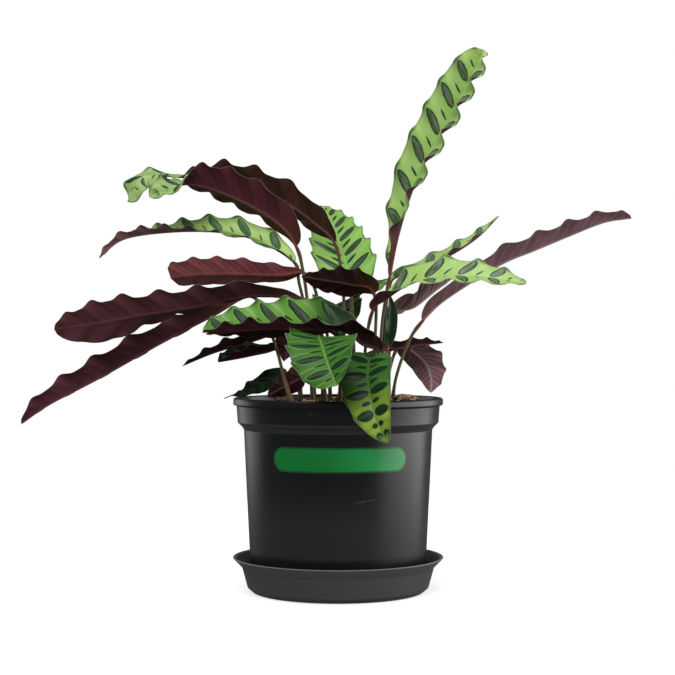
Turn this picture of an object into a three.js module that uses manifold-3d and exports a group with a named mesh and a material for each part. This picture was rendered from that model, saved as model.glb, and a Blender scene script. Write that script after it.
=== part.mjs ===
import * as THREE from 'three';
import { mergeVertices } from 'three/addons/utils/BufferGeometryUtils.js';
import Module from 'manifold-3d';

// A potted rattlesnake plant: long waved leaves on thin stalks, in a black nursery pot on its saucer.
// Millimetres, +Z up. The origin is the middle of the saucer's foot, where the whole thing rests.
// The viewer's side is -Y, and +X is to the viewer's right.

// Pot: an injection-moulded tub with a rolled rim, a collar and a step under the collar
const RIM_RADIUS = 85;
const RIM_TOP = 156.6;
const RIM_BOTTOM = 150.5;
const COLLAR_RADIUS = 82.4;
const COLLAR_BOTTOM = 137;
const STEP_BOTTOM = 131;
const BODY_TOP_RADIUS = 76.4;
const BODY_BOTTOM_RADIUS = 70.3;
const POT_CORNER = 5;
const POT_WALL = 1.8;
const DRAIN_HOLES = 8;
const DRAIN_RADIUS = 6;
const DRAIN_CIRCLE = 46;

// Saucer: a shallow dish with a flared lip
const SAUCER_FOOT_RADIUS = 68;
const SAUCER_CORNER = 4;
const SAUCER_WALL_RADIUS = 78;
const SAUCER_WALL_TOP = 20;
const SAUCER_LIP_RADIUS = 86;
const SAUCER_LIP_TOP = 28;
const SAUCER_LIP_EDGE = 0.8;
const SAUCER_WALL = 1.8;
const SAUCER_FLOOR = 2;

// Soil: filled to just under the rim, a little higher in the middle, with bark chips on it
const SOIL_EDGE = 149.5;
const SOIL_MIDDLE = 154.5;
const SOIL_SHOULDER_RADIUS = 66;
const SOIL_SHOULDER = 151.5;
const SOIL_CROWN_RADIUS = 40;
const SOIL_CROWN = 153.5;
const CHIP_COUNT = 34;
const CHIP_SMALL = 4.5;
const CHIP_LARGE = 8;
const CHIP_DEPTH_SHARE = 0.8;
const CHIP_HEIGHT_SHARE = 0.55;
const CHIP_TILT = 0.3;
const CHIP_SPREAD = 72;
const CHIP_CLEARANCE = 4;
const CHIP_SEED = 17;

// Clearances, and how finely the round things are divided
const GAP = 0.3;
const BLADE_GAP = 0.4;
const STALK_HOLE_GAP = 0.5;
const ROUND_SIDES = 40;

// Leaves: the blade is a thin sheet and the stalk a slim round rod
const BLADE_THICKNESS = 0.8;
const BLADE_NECK_HALF = 1.1;
const BLADE_TIP_HALF = 0.5;
const STALK_RADIUS = 1.5;
const STALK_SIDES = 6;
const STALK_STEPS = 5;
const ACROSS = [-1, -0.5, 0, 0.5, 1];
const STATIONS_PER_WAVE = 3;
const VEIN_SLANT = 0.75;
const CREST_SHARPNESS = 0.25;
const WAVE_CROWDING = 1.15;
const WAVE_POWER = 1.7;
const SCALLOP = 0.07;
const FOLD_AT_MIDRIB = 1.15;
const FOLD_AT_MARGIN = 0.85;
const DEFAULT_SHAPE = [0.5, 0.75];

// Each leaf's places in order: the stalk from inside the soil up, then the midrib from the blade's
// base to its tip. A face direction says which way the upper side looks at that midrib place. Half
// is the widest half width, fold the angle of each half in degrees at base and tip, wave the height
// of the margin's waves, and shape the powers of the outline towards base and tip. Slant is how far
// the side veins lean towards the tip, and behind the half whose waves run half a wave late: 1 for
// the right half as seen from the base with the upper side up, and -1 for the left.
const leaves = {
  tall_right: {
    stalk: [[33, 5, 140], [35, 6, 205], [38, 7, 232]],
    spine: [[42, 8, 254], [50, 9, 292], [66, 8, 339], [89, 4, 382], [118, -4, 438]],
    face: [
      [-0.9, 0.5, 0.2], [-0.8, -0.3, 0.3], [-0.55, -0.77, 0.35], [-0.5, -0.8, 0.35],
      [-0.35, -0.85, 0.3],
    ],
    half: 22, fold: [50, 44], waves: 7.5, wave: 5.8, phase: 0.7, shape: [0.75, 0.35], behind: 1,
  },
  arch_left_front: {
    stalk: [[-18, -2, 140], [-24, -3, 225], [-29, -5, 262]],
    spine: [
      [-34, -6, 279], [-46, -8, 295], [-68, -10, 310], [-97, -12, 323], [-120, -15, 328],
      [-134, -22, 324], [-150, -28, 317],
    ],
    face: [
      [0.5, 0.65, 0.5], [0.3, 0.65, 0.7], [0.2, 0.62, 0.78], [0, 0.55, 0.82], [0, 0.3, 0.9],
      [-0.2, -0.65, 0.7], [-0.3, -0.85, 0.4],
    ],
    half: 22, fold: [33, 26], waves: 6.3, wave: 2.5, phase: 0.1, shape: [0.5, 0.5],
  },
  arch_left_rear: {
    stalk: [[2, 6, 140], [5, 10, 215], [3, 12, 255]],
    spine: [
      [-3, 14, 283], [-19, 18, 299], [-39, 22, 314], [-65, 26, 326], [-94, 28, 334], [-123, 28, 339],
      [-148, 26, 341], [-165, 20, 335], [-170, 14, 316],
    ],
    face: [
      [0.5, 0.6, 0.5], [0.4, 0.65, 0.6], [0.3, 0.7, 0.6], [0.2, 0.7, 0.65], [0.1, 0.68, 0.7],
      [0, 0.15, 1], [-0.1, -0.35, 0.9], [-0.45, -0.8, 0.5], [-0.6, -0.8, 0],
    ],
    half: 21, fold: [28, -20], waves: 8, wave: 3.5, phase: 0.15, shape: [0.5, 0.45],
  },
  thin_left: {
    stalk: [[-20, 8, 140], [-25, 11, 215], [-32, 13, 250]],
    spine: [
      [-36, 14, 267], [-63, 20, 284], [-94, 24, 292], [-135, 28, 293], [-177, 30, 287],
      [-198, 28, 271],
    ],
    face: [
      [0.4, -0.55, 0.8], [0.3, -0.6, 0.8], [0.1, -0.55, 0.85], [0, -0.22, 0.95], [-0.2, 0.1, 0.9],
      [-0.6, 0.3, 0.7],
    ],
    half: 16.5, fold: [32, 28], waves: 7.7, wave: 2.5, phase: 0.4, shape: [0.45, 0.6],
  },
  red_left: {
    stalk: [[-12, 8, 140], [-14, 5, 215], [-20, 3, 248]],
    spine: [
      [-29, 2, 258], [-47, 6, 256], [-80, 12, 257], [-106, 16, 257], [-124, 19, 256], [-138, 22, 254],
    ],
    face: [
      [0, 0.6, 0.8], [0, 0.6, 0.8], [0, 0.6, 0.8], [0, 0.6, 0.8], [-0.1, 0.6, 0.8], [-0.3, 0.6, 0.7],
    ],
    half: 18, fold: [16, 12], waves: 5.5, wave: 1.1, phase: 0, shape: [0.45, 0.16],
  },
  broad_left: {
    stalk: [[-6, -6, 140], [-8, -6, 200], [-14, -7, 228]],
    spine: [
      [-27, -8, 236], [-70, -22, 238], [-110, -32, 230], [-148, -40, 224], [-187, -46, 217],
      [-222, -50, 212],
    ],
    face: [
      [0, 0.5, 0.85], [-0.1, 0.45, 0.85], [-0.2, 0.42, 0.82], [-0.1, 0.5, 0.82], [0, 0.76, 0.62],
      [0, 0.75, 0.65],
    ],
    half: 22.5, fold: [44, -6], waves: 7, wave: 2.5, phase: 0.3, shape: [0.85, 0.45],
  },
  long_low_left: {
    stalk: [[-31, -57, 140], [-41, -55, 170], [-52, -8, 203]],
    spine: [
      [-69, 0, 238], [-103, 8, 222.5], [-146, 12, 200], [-195, 10, 172], [-235, 4, 150.5],
      [-257, 0, 135],
    ],
    face: [
      [-0.4, 0.3, 0.9], [-0.35, 0.42, 0.75], [-0.35, 0.45, 0.75], [-0.35, 0.45, 0.75],
      [-0.35, 0.45, 0.75], [-0.5, 0.4, 0.7],
    ],
    half: 18.5, fold: [38, 44], waves: 6.2, wave: 3.8, phase: 0.65, shape: [0.7, 0.5], behind: 1,
  },
  short_low_left: {
    stalk: [[-30, 18, 140], [-31, 16, 180], [-30, 13, 203]],
    spine: [[-33, 11, 215], [-68, 15, 203], [-101, 12, 193], [-127, 6, 182]],
    face: [[-0.3, 0.15, 0.9], [-0.3, 0.15, 0.9], [-0.3, 0.15, 0.9], [-0.3, 0.2, 0.9]],
    half: 15, fold: [30, 26], waves: 4.5, wave: 2, phase: 0.4,
  },
  green_front_left: {
    stalk: [[30, -14, 140], [33, -12, 170]],
    spine: [
      [33, -12, 193], [19, -20, 200], [5, -30, 210], [-22, -42, 213], [-53, -52, 212], [-84, -58, 211],
      [-105, -62, 209],
    ],
    face: [
      [0.1, 0.35, 0.85], [0.05, 0.05, 0.9], [0, -0.42, 0.88], [0, -0.54, 0.84], [0, -0.44, 0.88],
      [0, -0.38, 0.9], [-0.2, -0.5, 0.8],
    ],
    half: 25, fold: [46, 50], waves: 6, wave: 3, phase: 0.7, shape: [0.5, 0.5],
  },
  under_front_left: {
    stalk: [[2, -12, 140], [2, -12, 180], [1, -13, 200]],
    spine: [[-6, -16, 210], [-30, -24, 212], [-60, -32, 212], [-104, -40, 208]],
    face: [[0, 0.75, 0.6], [0, 0.7, 0.6], [0, 0.6, 0.7], [0, 0.5, 0.8]],
    half: 13, fold: [12, 12], waves: 4.5, wave: 2, phase: 0,
  },
  hang_front_left: {
    stalk: [[-8, -20, 140], [-12, -22, 175], [-15, -27, 197]],
    spine: [[-16, -36, 204], [-15, -64, 206], [-12, -95, 198], [-7, -118, 184], [-1, -132, 170]],
    face: [
      [0.15, -0.2, 0.95], [0.15, -0.32, 0.92], [-0.08, -0.42, 0.85], [-0.38, -0.52, 0.7],
      [-0.55, -0.6, 0.55],
    ],
    half: 27, fold: [0, 24], waves: 6, wave: 1.8, phase: 0, shape: [0.5, 0.38], slant: 0.15,
  },
  hang_front: {
    stalk: [[20, -10, 140], [23, -16, 173]],
    spine: [
      [25, -24, 190], [24, -46, 185], [23, -68, 175], [25, -90, 159], [29, -104, 143], [37, -112, 127],
    ],
    face: [
      [0.16, -0.3, 0.9], [0, -0.4, 0.85], [-0.3, -0.5, 0.8], [-0.42, -0.68, 0.6], [-0.38, -0.88, 0.4],
      [-0.3, -0.9, 0.3],
    ],
    half: 22, fold: [22, 20], waves: 5, wave: 2, phase: 0.3, shape: [0.55, 0.7], slant: 0.2,
  },
  upright_back: {
    stalk: [[10, 14, 140], [12, 13, 190]],
    spine: [[11, 15, 239], [7, 45, 264], [0, 80, 289], [-7, 110, 310], [-15, 132, 323]],
    face: [[0, -0.7, 0.6], [0, -0.7, 0.7], [0, -0.65, 0.7], [0, -0.6, 0.8], [0, -0.5, 0.85]],
    half: 26, fold: [6, 6], waves: 6, wave: 2.4, phase: 0, slant: 1.15, behind: 1,
  },
  centre_dark: {
    stalk: [[27, -4, 140], [30, 0, 200]],
    spine: [[29, -2, 241], [10, -10, 248], [-10, -20, 251], [-29, -28, 254]],
    face: [[0, 0.7, 0.7]],
    half: 16, fold: [10, 6], waves: 4, wave: 2, phase: 0,
  },
  back_right_small: {
    stalk: [[14, 22, 140], [13, 23, 200]],
    spine: [[11, 25, 238], [23, 50, 249], [34, 75, 254], [44, 98, 252]],
    face: [[0.3, 0, 0.9], [0.3, 0, 0.9], [0.2, 0.1, 0.9], [0, 0.2, 0.9]],
    half: 16, fold: [16, 10], waves: 4, wave: 3, phase: 0,
  },
  thin_right: {
    stalk: [[35, 15, 140], [38, 15, 210]],
    spine: [[43, 16, 250], [60, 26, 258], [78, 33, 266], [99, 38, 277], [118, 41, 290], [135, 44, 307]],
    face: [[-0.3, -0.2, 0.85], [-0.3, -0.3, 0.85], [-0.3, -0.25, 0.85]],
    half: 12, fold: [32, 32], waves: 4.3, wave: 1.8, phase: 0.7, behind: 1,
  },
  green_right: {
    stalk: [[20, 3, 140], [22, -2, 195]],
    spine: [
      [28, -8, 227], [38, -14, 236], [51, -22, 245], [66, -32, 251], [88, -44, 254], [118, -58, 252],
      [145, -68, 247],
    ],
    face: [
      [-0.5, 0.2, 0.6], [-0.5, 0, 0.7], [-0.4, -0.3, 0.8], [-0.2, -0.55, 0.8], [0, -0.6, 0.8],
      [0.1, -0.6, 0.8], [0.3, -0.6, 0.7],
    ],
    half: 18.5, fold: [34, 10], waves: 4.8, wave: 2.5, phase: 0.3, shape: [0.5, 0.6], behind: 1,
  },
  long_right: {
    stalk: [[43, 2, 140], [47, 2, 172], [58, 3, 203]],
    spine: [
      [69, 4, 219], [83, 8, 233], [105, 16, 248], [137, 26, 267], [164, 34, 278], [193, 42, 290],
      [224, 50, 302], [248, 56, 306],
    ],
    face: [
      [-0.5, 0.5, 0.7], [-0.4, 0.45, 0.75], [-0.35, 0.35, 0.85], [-0.35, 0.28, 0.85],
      [-0.35, 0.25, 0.85], [-0.35, 0.25, 0.85], [-0.35, 0.25, 0.85], [-0.2, 0.3, 0.8],
    ],
    half: 18, fold: [34, 32], waves: 6.6, wave: 2.2, phase: 0.95, shape: [0.5, 0.45],
  },
  purple_right: {
    stalk: [[42, 9, 140], [42, 16.5, 192]],
    spine: [[45, 17, 223], [63, 25, 230.5], [81, 34, 244], [99, 43, 257]],
    face: [[-0.3, 0.4, 0.8]],
    half: 17, fold: [26, 22], waves: 4, wave: 2, phase: 0,
  },
  drop_right: {
    stalk: [[38, 22, 140], [43, 24, 180]],
    spine: [[52, 30, 200], [63, 40, 193], [73, 46, 184], [78, 49, 172], [78, 49, 159]],
    face: [[0.5, 0.6, 0.6], [0.5, 0.7, 0.5], [0.5, 0.8, 0.4], [0.4, 0.9, 0.1], [0.3, 0.9, 0]],
    half: 18, fold: [8, 8], waves: 4, wave: 1.5, phase: 0, shape: [0.55, 0.8],
  },
  low_right: {
    stalk: [[27, 10, 140], [30, 5, 180]],
    spine: [[36, 2, 195], [51, 8.5, 196.5], [67, 15, 199], [87, 22, 201]],
    face: [[0, 0.6, 0.8], [0, 0.6, 0.8], [0, 0.5, 0.8], [0, 0.2, 0.9]],
    half: 9, fold: [20, 20], waves: 3.5, wave: 1.4, phase: 0,
  },
  low_left_dark: {
    stalk: [[-27, 6, 140], [-34, 8, 175]],
    spine: [[-42, 8, 196], [-60, 0, 193], [-78, -10, 189], [-96, -18, 185.5]],
    face: [[-0.2, -0.15, 0.95], [-0.2, -0.15, 0.95], [-0.2, -0.15, 0.95], [-0.2, -0.2, 0.95]],
    half: 15.5, fold: [45, 40], waves: 3.5, wave: 1.6, phase: 0.2, shape: [0.9, 0.6],
  },
  rim_left: {
    stalk: [[-27, -5, 140], [-33, 0, 165]],
    spine: [
      [-42, 6, 176], [-53, 2, 172], [-65, -4, 165.5], [-76, -9, 160.5], [-86, -10, 158.5],
      [-92, -10, 156],
    ],
    face: [
      [-0.4, -0.6, 0.7], [-0.4, -0.6, 0.7], [-0.4, -0.55, 0.7], [-0.3, -0.4, 0.85], [-0.1, -0.2, 0.95],
      [0.2, -0.2, 0.9],
    ],
    half: 13.5, fold: [6, 0], waves: 3, wave: 1.2, phase: 0, shape: [0.6, 1.2],
  },
  soil_left: {
    stalk: [[-18, -26, 140], [-20.5, -28, 164]],
    spine: [[-24, -30, 175], [-36, -34, 170], [-48, -38, 163.5], [-56, -40, 159]],
    face: [[0, 0.8, 0.6], [0, 0.8, 0.6], [0, 0.7, 0.7]],
    half: 12, fold: [8, 6], waves: 2.5, wave: 1.2, phase: 0.5,
  },
  inner_right: {
    stalk: [[36, -5, 140], [37, -6, 170]],
    spine: [[40, -8, 198], [42, -10, 211], [43, -11, 225], [42, -9, 239]],
    face: [[0.2, -0.9, 0.2]],
    half: 5.5, fold: [30, 30], waves: 2, wave: 1, phase: 0,
  },
  back_middle: {
    stalk: [[0, 20, 140], [2, 24, 180]],
    spine: [[2, 34, 205], [0, 64, 226], [-2, 96, 234], [-4, 128, 227], [-4, 152, 208]],
    face: [[0, -0.5, 0.85], [0, -0.4, 0.9], [0, 0, 1], [0, 0.35, 0.9], [0, 0.6, 0.75]],
    half: 22, fold: [26, 18], waves: 6, wave: 3, phase: 0,
  },
  back_low: {
    stalk: [[8, 32, 140], [9, 36, 158]],
    spine: [[12, 46, 172], [16, 72, 186], [19, 98, 188], [20, 122, 178], [19, 138, 162]],
    face: [[0, -0.5, 0.85], [0, -0.3, 0.9], [0, 0.1, 1], [0, 0.4, 0.9], [0, 0.7, 0.7]],
    half: 18, fold: [24, 16], waves: 5, wave: 2.5, phase: 0.4,
  },
  back_left: {
    stalk: [[-10, 24, 140], [-12, 28, 166]],
    spine: [[-15, 36, 186], [-27, 60, 202], [-37, 86, 207], [-44, 112, 199], [-48, 132, 184]],
    face: [[-0.1, -0.5, 0.85], [-0.1, -0.3, 0.9], [-0.1, 0.1, 1], [-0.1, 0.4, 0.9], [-0.1, 0.6, 0.75]],
    half: 17, fold: [26, 18], waves: 5, wave: 2.5, phase: 0.1,
  },
};

const wasm = await Module();
wasm.setup();

// A closed three.js geometry as a solid that can be joined and cut
function toSolid(geometry) {
  const bare = geometry.clone();
  bare.deleteAttribute('normal');
  bare.deleteAttribute('uv');
  const merged = mergeVertices(bare, 1e-4);
  const mesh = new wasm.Mesh({
    numProp: 3,
    vertProperties: new Float32Array(merged.attributes.position.array),
    triVerts: new Uint32Array(merged.index.array),
  });
  return new wasm.Manifold(mesh);
}

// The solid's faces back as a three.js geometry
function fromSolid(solid) {
  const mesh = solid.getMesh();
  const geometry = new THREE.BufferGeometry();
  geometry.setAttribute('position', new THREE.BufferAttribute(new Float32Array(mesh.vertProperties), 3));
  geometry.setIndex(new THREE.BufferAttribute(new Uint32Array(mesh.triVerts), 1));
  geometry.computeVertexNormals();
  return geometry;
}

// A profile of [radius, height] points turned about the Z axis
function turned(profile, sides) {
  const points = profile.map(([radius, height]) => new THREE.Vector2(radius, height));
  const geometry = new THREE.LatheGeometry(points, sides);
  geometry.rotateX(Math.PI / 2);
  return geometry;
}

// Points of a round corner, in [radius, height]
function corner(centreRadius, centreHeight, size, fromAngle, toAngle, steps) {
  const points = [];
  for (let i = 0; i <= steps; i += 1) {
    const angle = THREE.MathUtils.degToRad(fromAngle + ((toAngle - fromAngle) * i) / steps);
    points.push([centreRadius + size * Math.cos(angle), centreHeight + size * Math.sin(angle)]);
  }
  return points;
}

// Repeatable random numbers between 0 and 1
function makeRandom(seed) {
  let state = seed;
  return () => {
    state = (state + 0x6d2b79f5) | 0;
    let mixed = Math.imul(state ^ (state >>> 15), 1 | state);
    mixed = (mixed + Math.imul(mixed ^ (mixed >>> 7), 61 | mixed)) ^ mixed;
    return ((mixed ^ (mixed >>> 14)) >>> 0) / 4294967296;
  };
}

// One stretch of a longer curve, as a curve of its own
class Stretch extends THREE.Curve {
  constructor(whole, from, to) {
    super();
    this.whole = whole;
    this.from = from;
    this.to = to;
  }

  getPoint(t, target = new THREE.Vector3()) {
    return this.whole.getPoint(this.from + (this.to - this.from) * t, target);
  }
}

// Stalk and midrib run on one smooth curve from the soil to the leaf's tip
function leafCurves(leaf) {
  const points = [...leaf.stalk, ...leaf.spine].map((place) => new THREE.Vector3(...place));
  const whole = new THREE.CatmullRomCurve3(points, false, 'catmullrom', 0.5);
  const base = leaf.stalk.length / (points.length - 1);
  return { stalk: new Stretch(whole, 0, base), spine: new Stretch(whole, base, 1) };
}

// Half width along the blade: a power of the way from the base times a power of the way to the tip
function widthShare(t, shape) {
  const [rise, fall] = shape;
  const peak = rise / (rise + fall);
  const highest = peak ** rise * (1 - peak) ** fall;
  return (t ** rise * (1 - t) ** fall) / highest;
}

// The upper side's direction along the blade: a list shorter than the midrib's keeps its last
// direction to the tip
function faceCurve(leaf) {
  const directions = leaf.spine.map((place, i) => leaf.face[Math.min(i, leaf.face.length - 1)]);
  const points = directions.map((direction) => new THREE.Vector3(...direction));
  return new THREE.CatmullRomCurve3(points, false, 'catmullrom', 0.5);
}

// One point of the blade's middle surface: out from the midrib along the folded half, and lifted by
// the wave, whose crests follow the slanted side veins and grow towards the margin
function bladePoint(leaf, spine, face, t, u) {
  const at = spine.getUtoTmapping(t);
  const along = spine.getTangent(at);
  const upper = face.getPoint(at);
  upper.addScaledVector(along, -upper.dot(along)).normalize();
  const right = new THREE.Vector3().crossVectors(along, upper);
  const shape = leaf.shape ?? DEFAULT_SHAPE;
  const least = THREE.MathUtils.lerp(BLADE_NECK_HALF, BLADE_TIP_HALF, t);
  const width = Math.max(leaf.half * widthShare(t, shape), least);
  const a = Math.abs(u);
  const hand = Math.sign(u);
  const easing = THREE.MathUtils.lerp(FOLD_AT_MIDRIB, FOLD_AT_MARGIN, a);
  const fold = THREE.MathUtils.degToRad(THREE.MathUtils.lerp(...leaf.fold, t)) * easing;
  const slant = leaf.slant ?? VEIN_SLANT;
  const root = THREE.MathUtils.clamp(t - (slant * width * a) / spine.getLength(), 0, 1);
  const late = hand === (leaf.behind ?? -1) ? 0.5 : 0;
  const angle = 2 * Math.PI * (leaf.waves * root ** WAVE_CROWDING + leaf.phase + late);
  const swing = (Math.cos(angle) + CREST_SHARPNESS * Math.cos(2 * angle)) / (1 + CREST_SHARPNESS);
  const growth = Math.min(1, width / leaf.half + 0.15);
  const lift = leaf.wave * growth * a ** WAVE_POWER * swing;
  const reach = width * a * (1 + SCALLOP * a * a * swing);
  const out = hand * (reach * Math.cos(fold) - lift * Math.sin(fold));
  const up = reach * Math.sin(fold) + lift * Math.cos(fold);
  return spine.getPoint(at).addScaledVector(right, out).addScaledVector(upper, up);
}

// The blade as a closed sheet: the middle surface moved half its thickness to both sides, with both
// faces split along the same diagonals
function bladeGeometry(leaf) {
  const { spine } = leafCurves(leaf);
  const face = faceCurve(leaf);
  const rows = Math.round(leaf.waves * STATIONS_PER_WAVE) + 2;
  const columns = ACROSS.length;
  const middle = [];
  for (let i = 0; i < rows; i += 1) {
    middle.push(ACROSS.map((u) => bladePoint(leaf, spine, face, i / (rows - 1), u)));
  }
  const positions = [];
  const difference = (a, b) => new THREE.Vector3().subVectors(a, b);
  for (const side of [0.5, -0.5]) {
    for (let i = 0; i < rows; i += 1) {
      for (let j = 0; j < columns; j += 1) {
        const [ahead, behind] = [Math.min(i + 1, rows - 1), Math.max(i - 1, 0)];
        const [beyond, before] = [Math.min(j + 1, columns - 1), Math.max(j - 1, 0)];
        const lengthways = difference(middle[ahead][j], middle[behind][j]);
        const crossways = difference(middle[i][beyond], middle[i][before]);
        const normal = crossways.cross(lengthways).normalize();
        const place = middle[i][j].clone().addScaledVector(normal, side * BLADE_THICKNESS);
        positions.push(...place.toArray());
      }
    }
  }
  const index = [];
  const last = columns - 1;
  const upperAt = (i, j) => i * columns + j;
  const lowerAt = (i, j) => rows * columns + i * columns + j;
  const wall = (a, b, c, d) => index.push(a, b, c, a, c, d);
  for (let i = 0; i + 1 < rows; i += 1) {
    for (let j = 0; j + 1 < columns; j += 1) {
      index.push(upperAt(i, j), upperAt(i, j + 1), upperAt(i + 1, j + 1));
      index.push(upperAt(i, j), upperAt(i + 1, j + 1), upperAt(i + 1, j));
      index.push(lowerAt(i, j), lowerAt(i + 1, j + 1), lowerAt(i, j + 1));
      index.push(lowerAt(i, j), lowerAt(i + 1, j), lowerAt(i + 1, j + 1));
    }
    wall(upperAt(i, 0), upperAt(i + 1, 0), lowerAt(i + 1, 0), lowerAt(i, 0));
    wall(upperAt(i + 1, last), upperAt(i, last), lowerAt(i, last), lowerAt(i + 1, last));
  }
  for (let j = 0; j + 1 < columns; j += 1) {
    wall(upperAt(0, j + 1), upperAt(0, j), lowerAt(0, j), lowerAt(0, j + 1));
    const end = rows - 1;
    wall(upperAt(end, j), upperAt(end, j + 1), lowerAt(end, j + 1), lowerAt(end, j));
  }
  const geometry = new THREE.BufferGeometry();
  geometry.setAttribute('position', new THREE.Float32BufferAttribute(positions, 3));
  geometry.setIndex(index);
  geometry.computeVertexNormals();
  return geometry;
}

// A rod of the given radius along a curve
function rodGeometry(curve, radius) {
  const section = new THREE.Shape();
  for (let i = 0; i < STALK_SIDES; i += 1) {
    const angle = (2 * Math.PI * i) / STALK_SIDES;
    const place = [radius * Math.cos(angle), radius * Math.sin(angle)];
    if (i === 0) section.moveTo(...place);
    else section.lineTo(...place);
  }
  section.closePath();
  return new THREE.ExtrudeGeometry(section, { steps: STALK_STEPS, bevelEnabled: false, extrudePath: curve });
}

// The stalk ends just short of the blade
function stalkGeometry(leaf) {
  const { stalk } = leafCurves(leaf);
  const end = stalk.getUtoTmapping(0, stalk.getLength() - BLADE_GAP);
  return rodGeometry(new Stretch(stalk, 0, end), STALK_RADIUS);
}

function potGeometry() {
  const floor = SAUCER_FLOOR + GAP;
  const lower = BODY_BOTTOM_RADIUS;
  const profile = [
    [0, floor],
    ...corner(lower - POT_CORNER, floor + POT_CORNER, POT_CORNER, -90, 0, 3),
    [BODY_TOP_RADIUS, STEP_BOTTOM],
    [BODY_TOP_RADIUS + 2, STEP_BOTTOM + 2.2],
    [COLLAR_RADIUS - 1, COLLAR_BOTTOM],
    [COLLAR_RADIUS, RIM_BOTTOM],
    [RIM_RADIUS - 0.6, RIM_BOTTOM + 0.4],
    [RIM_RADIUS, RIM_BOTTOM + 1.5],
    [RIM_RADIUS, RIM_TOP - 1.6],
    [RIM_RADIUS - 1.4, RIM_TOP],
    [COLLAR_RADIUS - POT_WALL + 1.2, RIM_TOP],
    [COLLAR_RADIUS - POT_WALL, RIM_TOP - 1.2],
    [COLLAR_RADIUS - 1 - POT_WALL, COLLAR_BOTTOM + 1],
    [BODY_TOP_RADIUS + 1 - POT_WALL, STEP_BOTTOM + 3.4],
    [BODY_TOP_RADIUS - POT_WALL, STEP_BOTTOM],
    [lower - POT_WALL, floor + POT_CORNER],
    [lower - POT_CORNER, floor + POT_WALL],
    [0, floor + POT_WALL],
  ];
  let pot = toSolid(turned(profile, ROUND_SIDES));
  for (let i = 0; i < DRAIN_HOLES; i += 1) {
    const angle = (2 * Math.PI * (i + 0.5)) / DRAIN_HOLES;
    const drill = new THREE.CylinderGeometry(DRAIN_RADIUS, DRAIN_RADIUS, 4 * POT_WALL, 12);
    drill.rotateX(Math.PI / 2);
    drill.translate(DRAIN_CIRCLE * Math.cos(angle), DRAIN_CIRCLE * Math.sin(angle), floor);
    pot = pot.subtract(toSolid(drill));
  }
  return fromSolid(pot);
}

function saucerGeometry() {
  const slope = SAUCER_WALL / Math.SQRT2;
  return turned([
    [0, 0],
    [SAUCER_FOOT_RADIUS, 0],
    ...corner(SAUCER_FOOT_RADIUS + 1, SAUCER_CORNER, SAUCER_CORNER, -70, -10, 2),
    [SAUCER_WALL_RADIUS, SAUCER_WALL_TOP],
    [SAUCER_LIP_RADIUS, SAUCER_LIP_TOP - SAUCER_LIP_EDGE],
    [SAUCER_LIP_RADIUS - SAUCER_LIP_EDGE / 2, SAUCER_LIP_TOP],
    [SAUCER_LIP_RADIUS - 2 * slope, SAUCER_LIP_TOP],
    [SAUCER_WALL_RADIUS - SAUCER_WALL, SAUCER_WALL_TOP + slope],
    ...corner(SAUCER_FOOT_RADIUS + 1, SAUCER_CORNER, SAUCER_CORNER - SAUCER_WALL, -10, -70, 2),
    [SAUCER_FOOT_RADIUS, SAUCER_FLOOR],
    [0, SAUCER_FLOOR],
  ], ROUND_SIDES);
}

// Bark chips: stretched and turned twenty-sided lumps, sunk into the soil and clear of the stalks
function chipGeometries(leafList) {
  const random = makeRandom(CHIP_SEED);
  const feet = leafList.map((leaf) => leaf.stalk[0]);
  const chips = [];
  while (chips.length < CHIP_COUNT) {
    const distance = CHIP_SPREAD * Math.sqrt(random());
    const bearing = 2 * Math.PI * random();
    const size = CHIP_SMALL + (CHIP_LARGE - CHIP_SMALL) * random();
    const x = distance * Math.cos(bearing);
    const y = distance * Math.sin(bearing);
    const turns = [random(), random(), random()].map((share) => share * 2 * Math.PI);
    const reach = size + CHIP_CLEARANCE;
    const clearOfStalks = feet.every((foot) => Math.hypot(foot[0] - x, foot[1] - y) > reach + STALK_RADIUS);
    if (clearOfStalks && distance + reach < COLLAR_RADIUS) {
      const chip = new THREE.IcosahedronGeometry(size, 0);
      chip.scale(1, CHIP_DEPTH_SHARE, CHIP_HEIGHT_SHARE);
      chip.rotateX(CHIP_TILT * Math.sin(turns[0]));
      chip.rotateY(CHIP_TILT * Math.sin(turns[1]));
      chip.rotateZ(turns[2]);
      chip.translate(x, y, THREE.MathUtils.lerp(SOIL_MIDDLE, SOIL_EDGE, distance / CHIP_SPREAD));
      chips.push(chip);
    }
  }
  return chips;
}

// Soil filling the pot, a small gap off its wall, with a hole for each stalk
function soilGeometry(leafList) {
  const floor = SAUCER_FLOOR + GAP + POT_WALL + GAP;
  const inner = POT_WALL + 1.5 * GAP;
  const profile = [
    [0, floor],
    [BODY_BOTTOM_RADIUS - POT_CORNER - 1, floor],
    [BODY_BOTTOM_RADIUS - inner, floor + POT_CORNER],
    [BODY_TOP_RADIUS - inner, STEP_BOTTOM],
    [BODY_TOP_RADIUS + 1 - inner, STEP_BOTTOM + 4],
    [COLLAR_RADIUS - 1 - inner, COLLAR_BOTTOM + 2],
    [COLLAR_RADIUS - inner - GAP, SOIL_EDGE],
    [SOIL_SHOULDER_RADIUS, SOIL_SHOULDER],
    [SOIL_CROWN_RADIUS, SOIL_CROWN],
    [0, SOIL_MIDDLE],
  ];
  let soil = toSolid(turned(profile, ROUND_SIDES));
  for (const chip of chipGeometries(leafList)) soil = soil.add(toSolid(chip));
  for (const leaf of leafList) {
    const { stalk } = leafCurves(leaf);
    const below = stalk.getPoint(0).addScaledVector(stalk.getTangent(0), -STALK_HOLE_GAP);
    const route = new THREE.CatmullRomCurve3([below, ...stalk.getPoints(STALK_STEPS).slice(1)]);
    soil = soil.subtract(toSolid(rodGeometry(route, STALK_RADIUS + STALK_HOLE_GAP)));
  }
  return fromSolid(soil);
}

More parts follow.
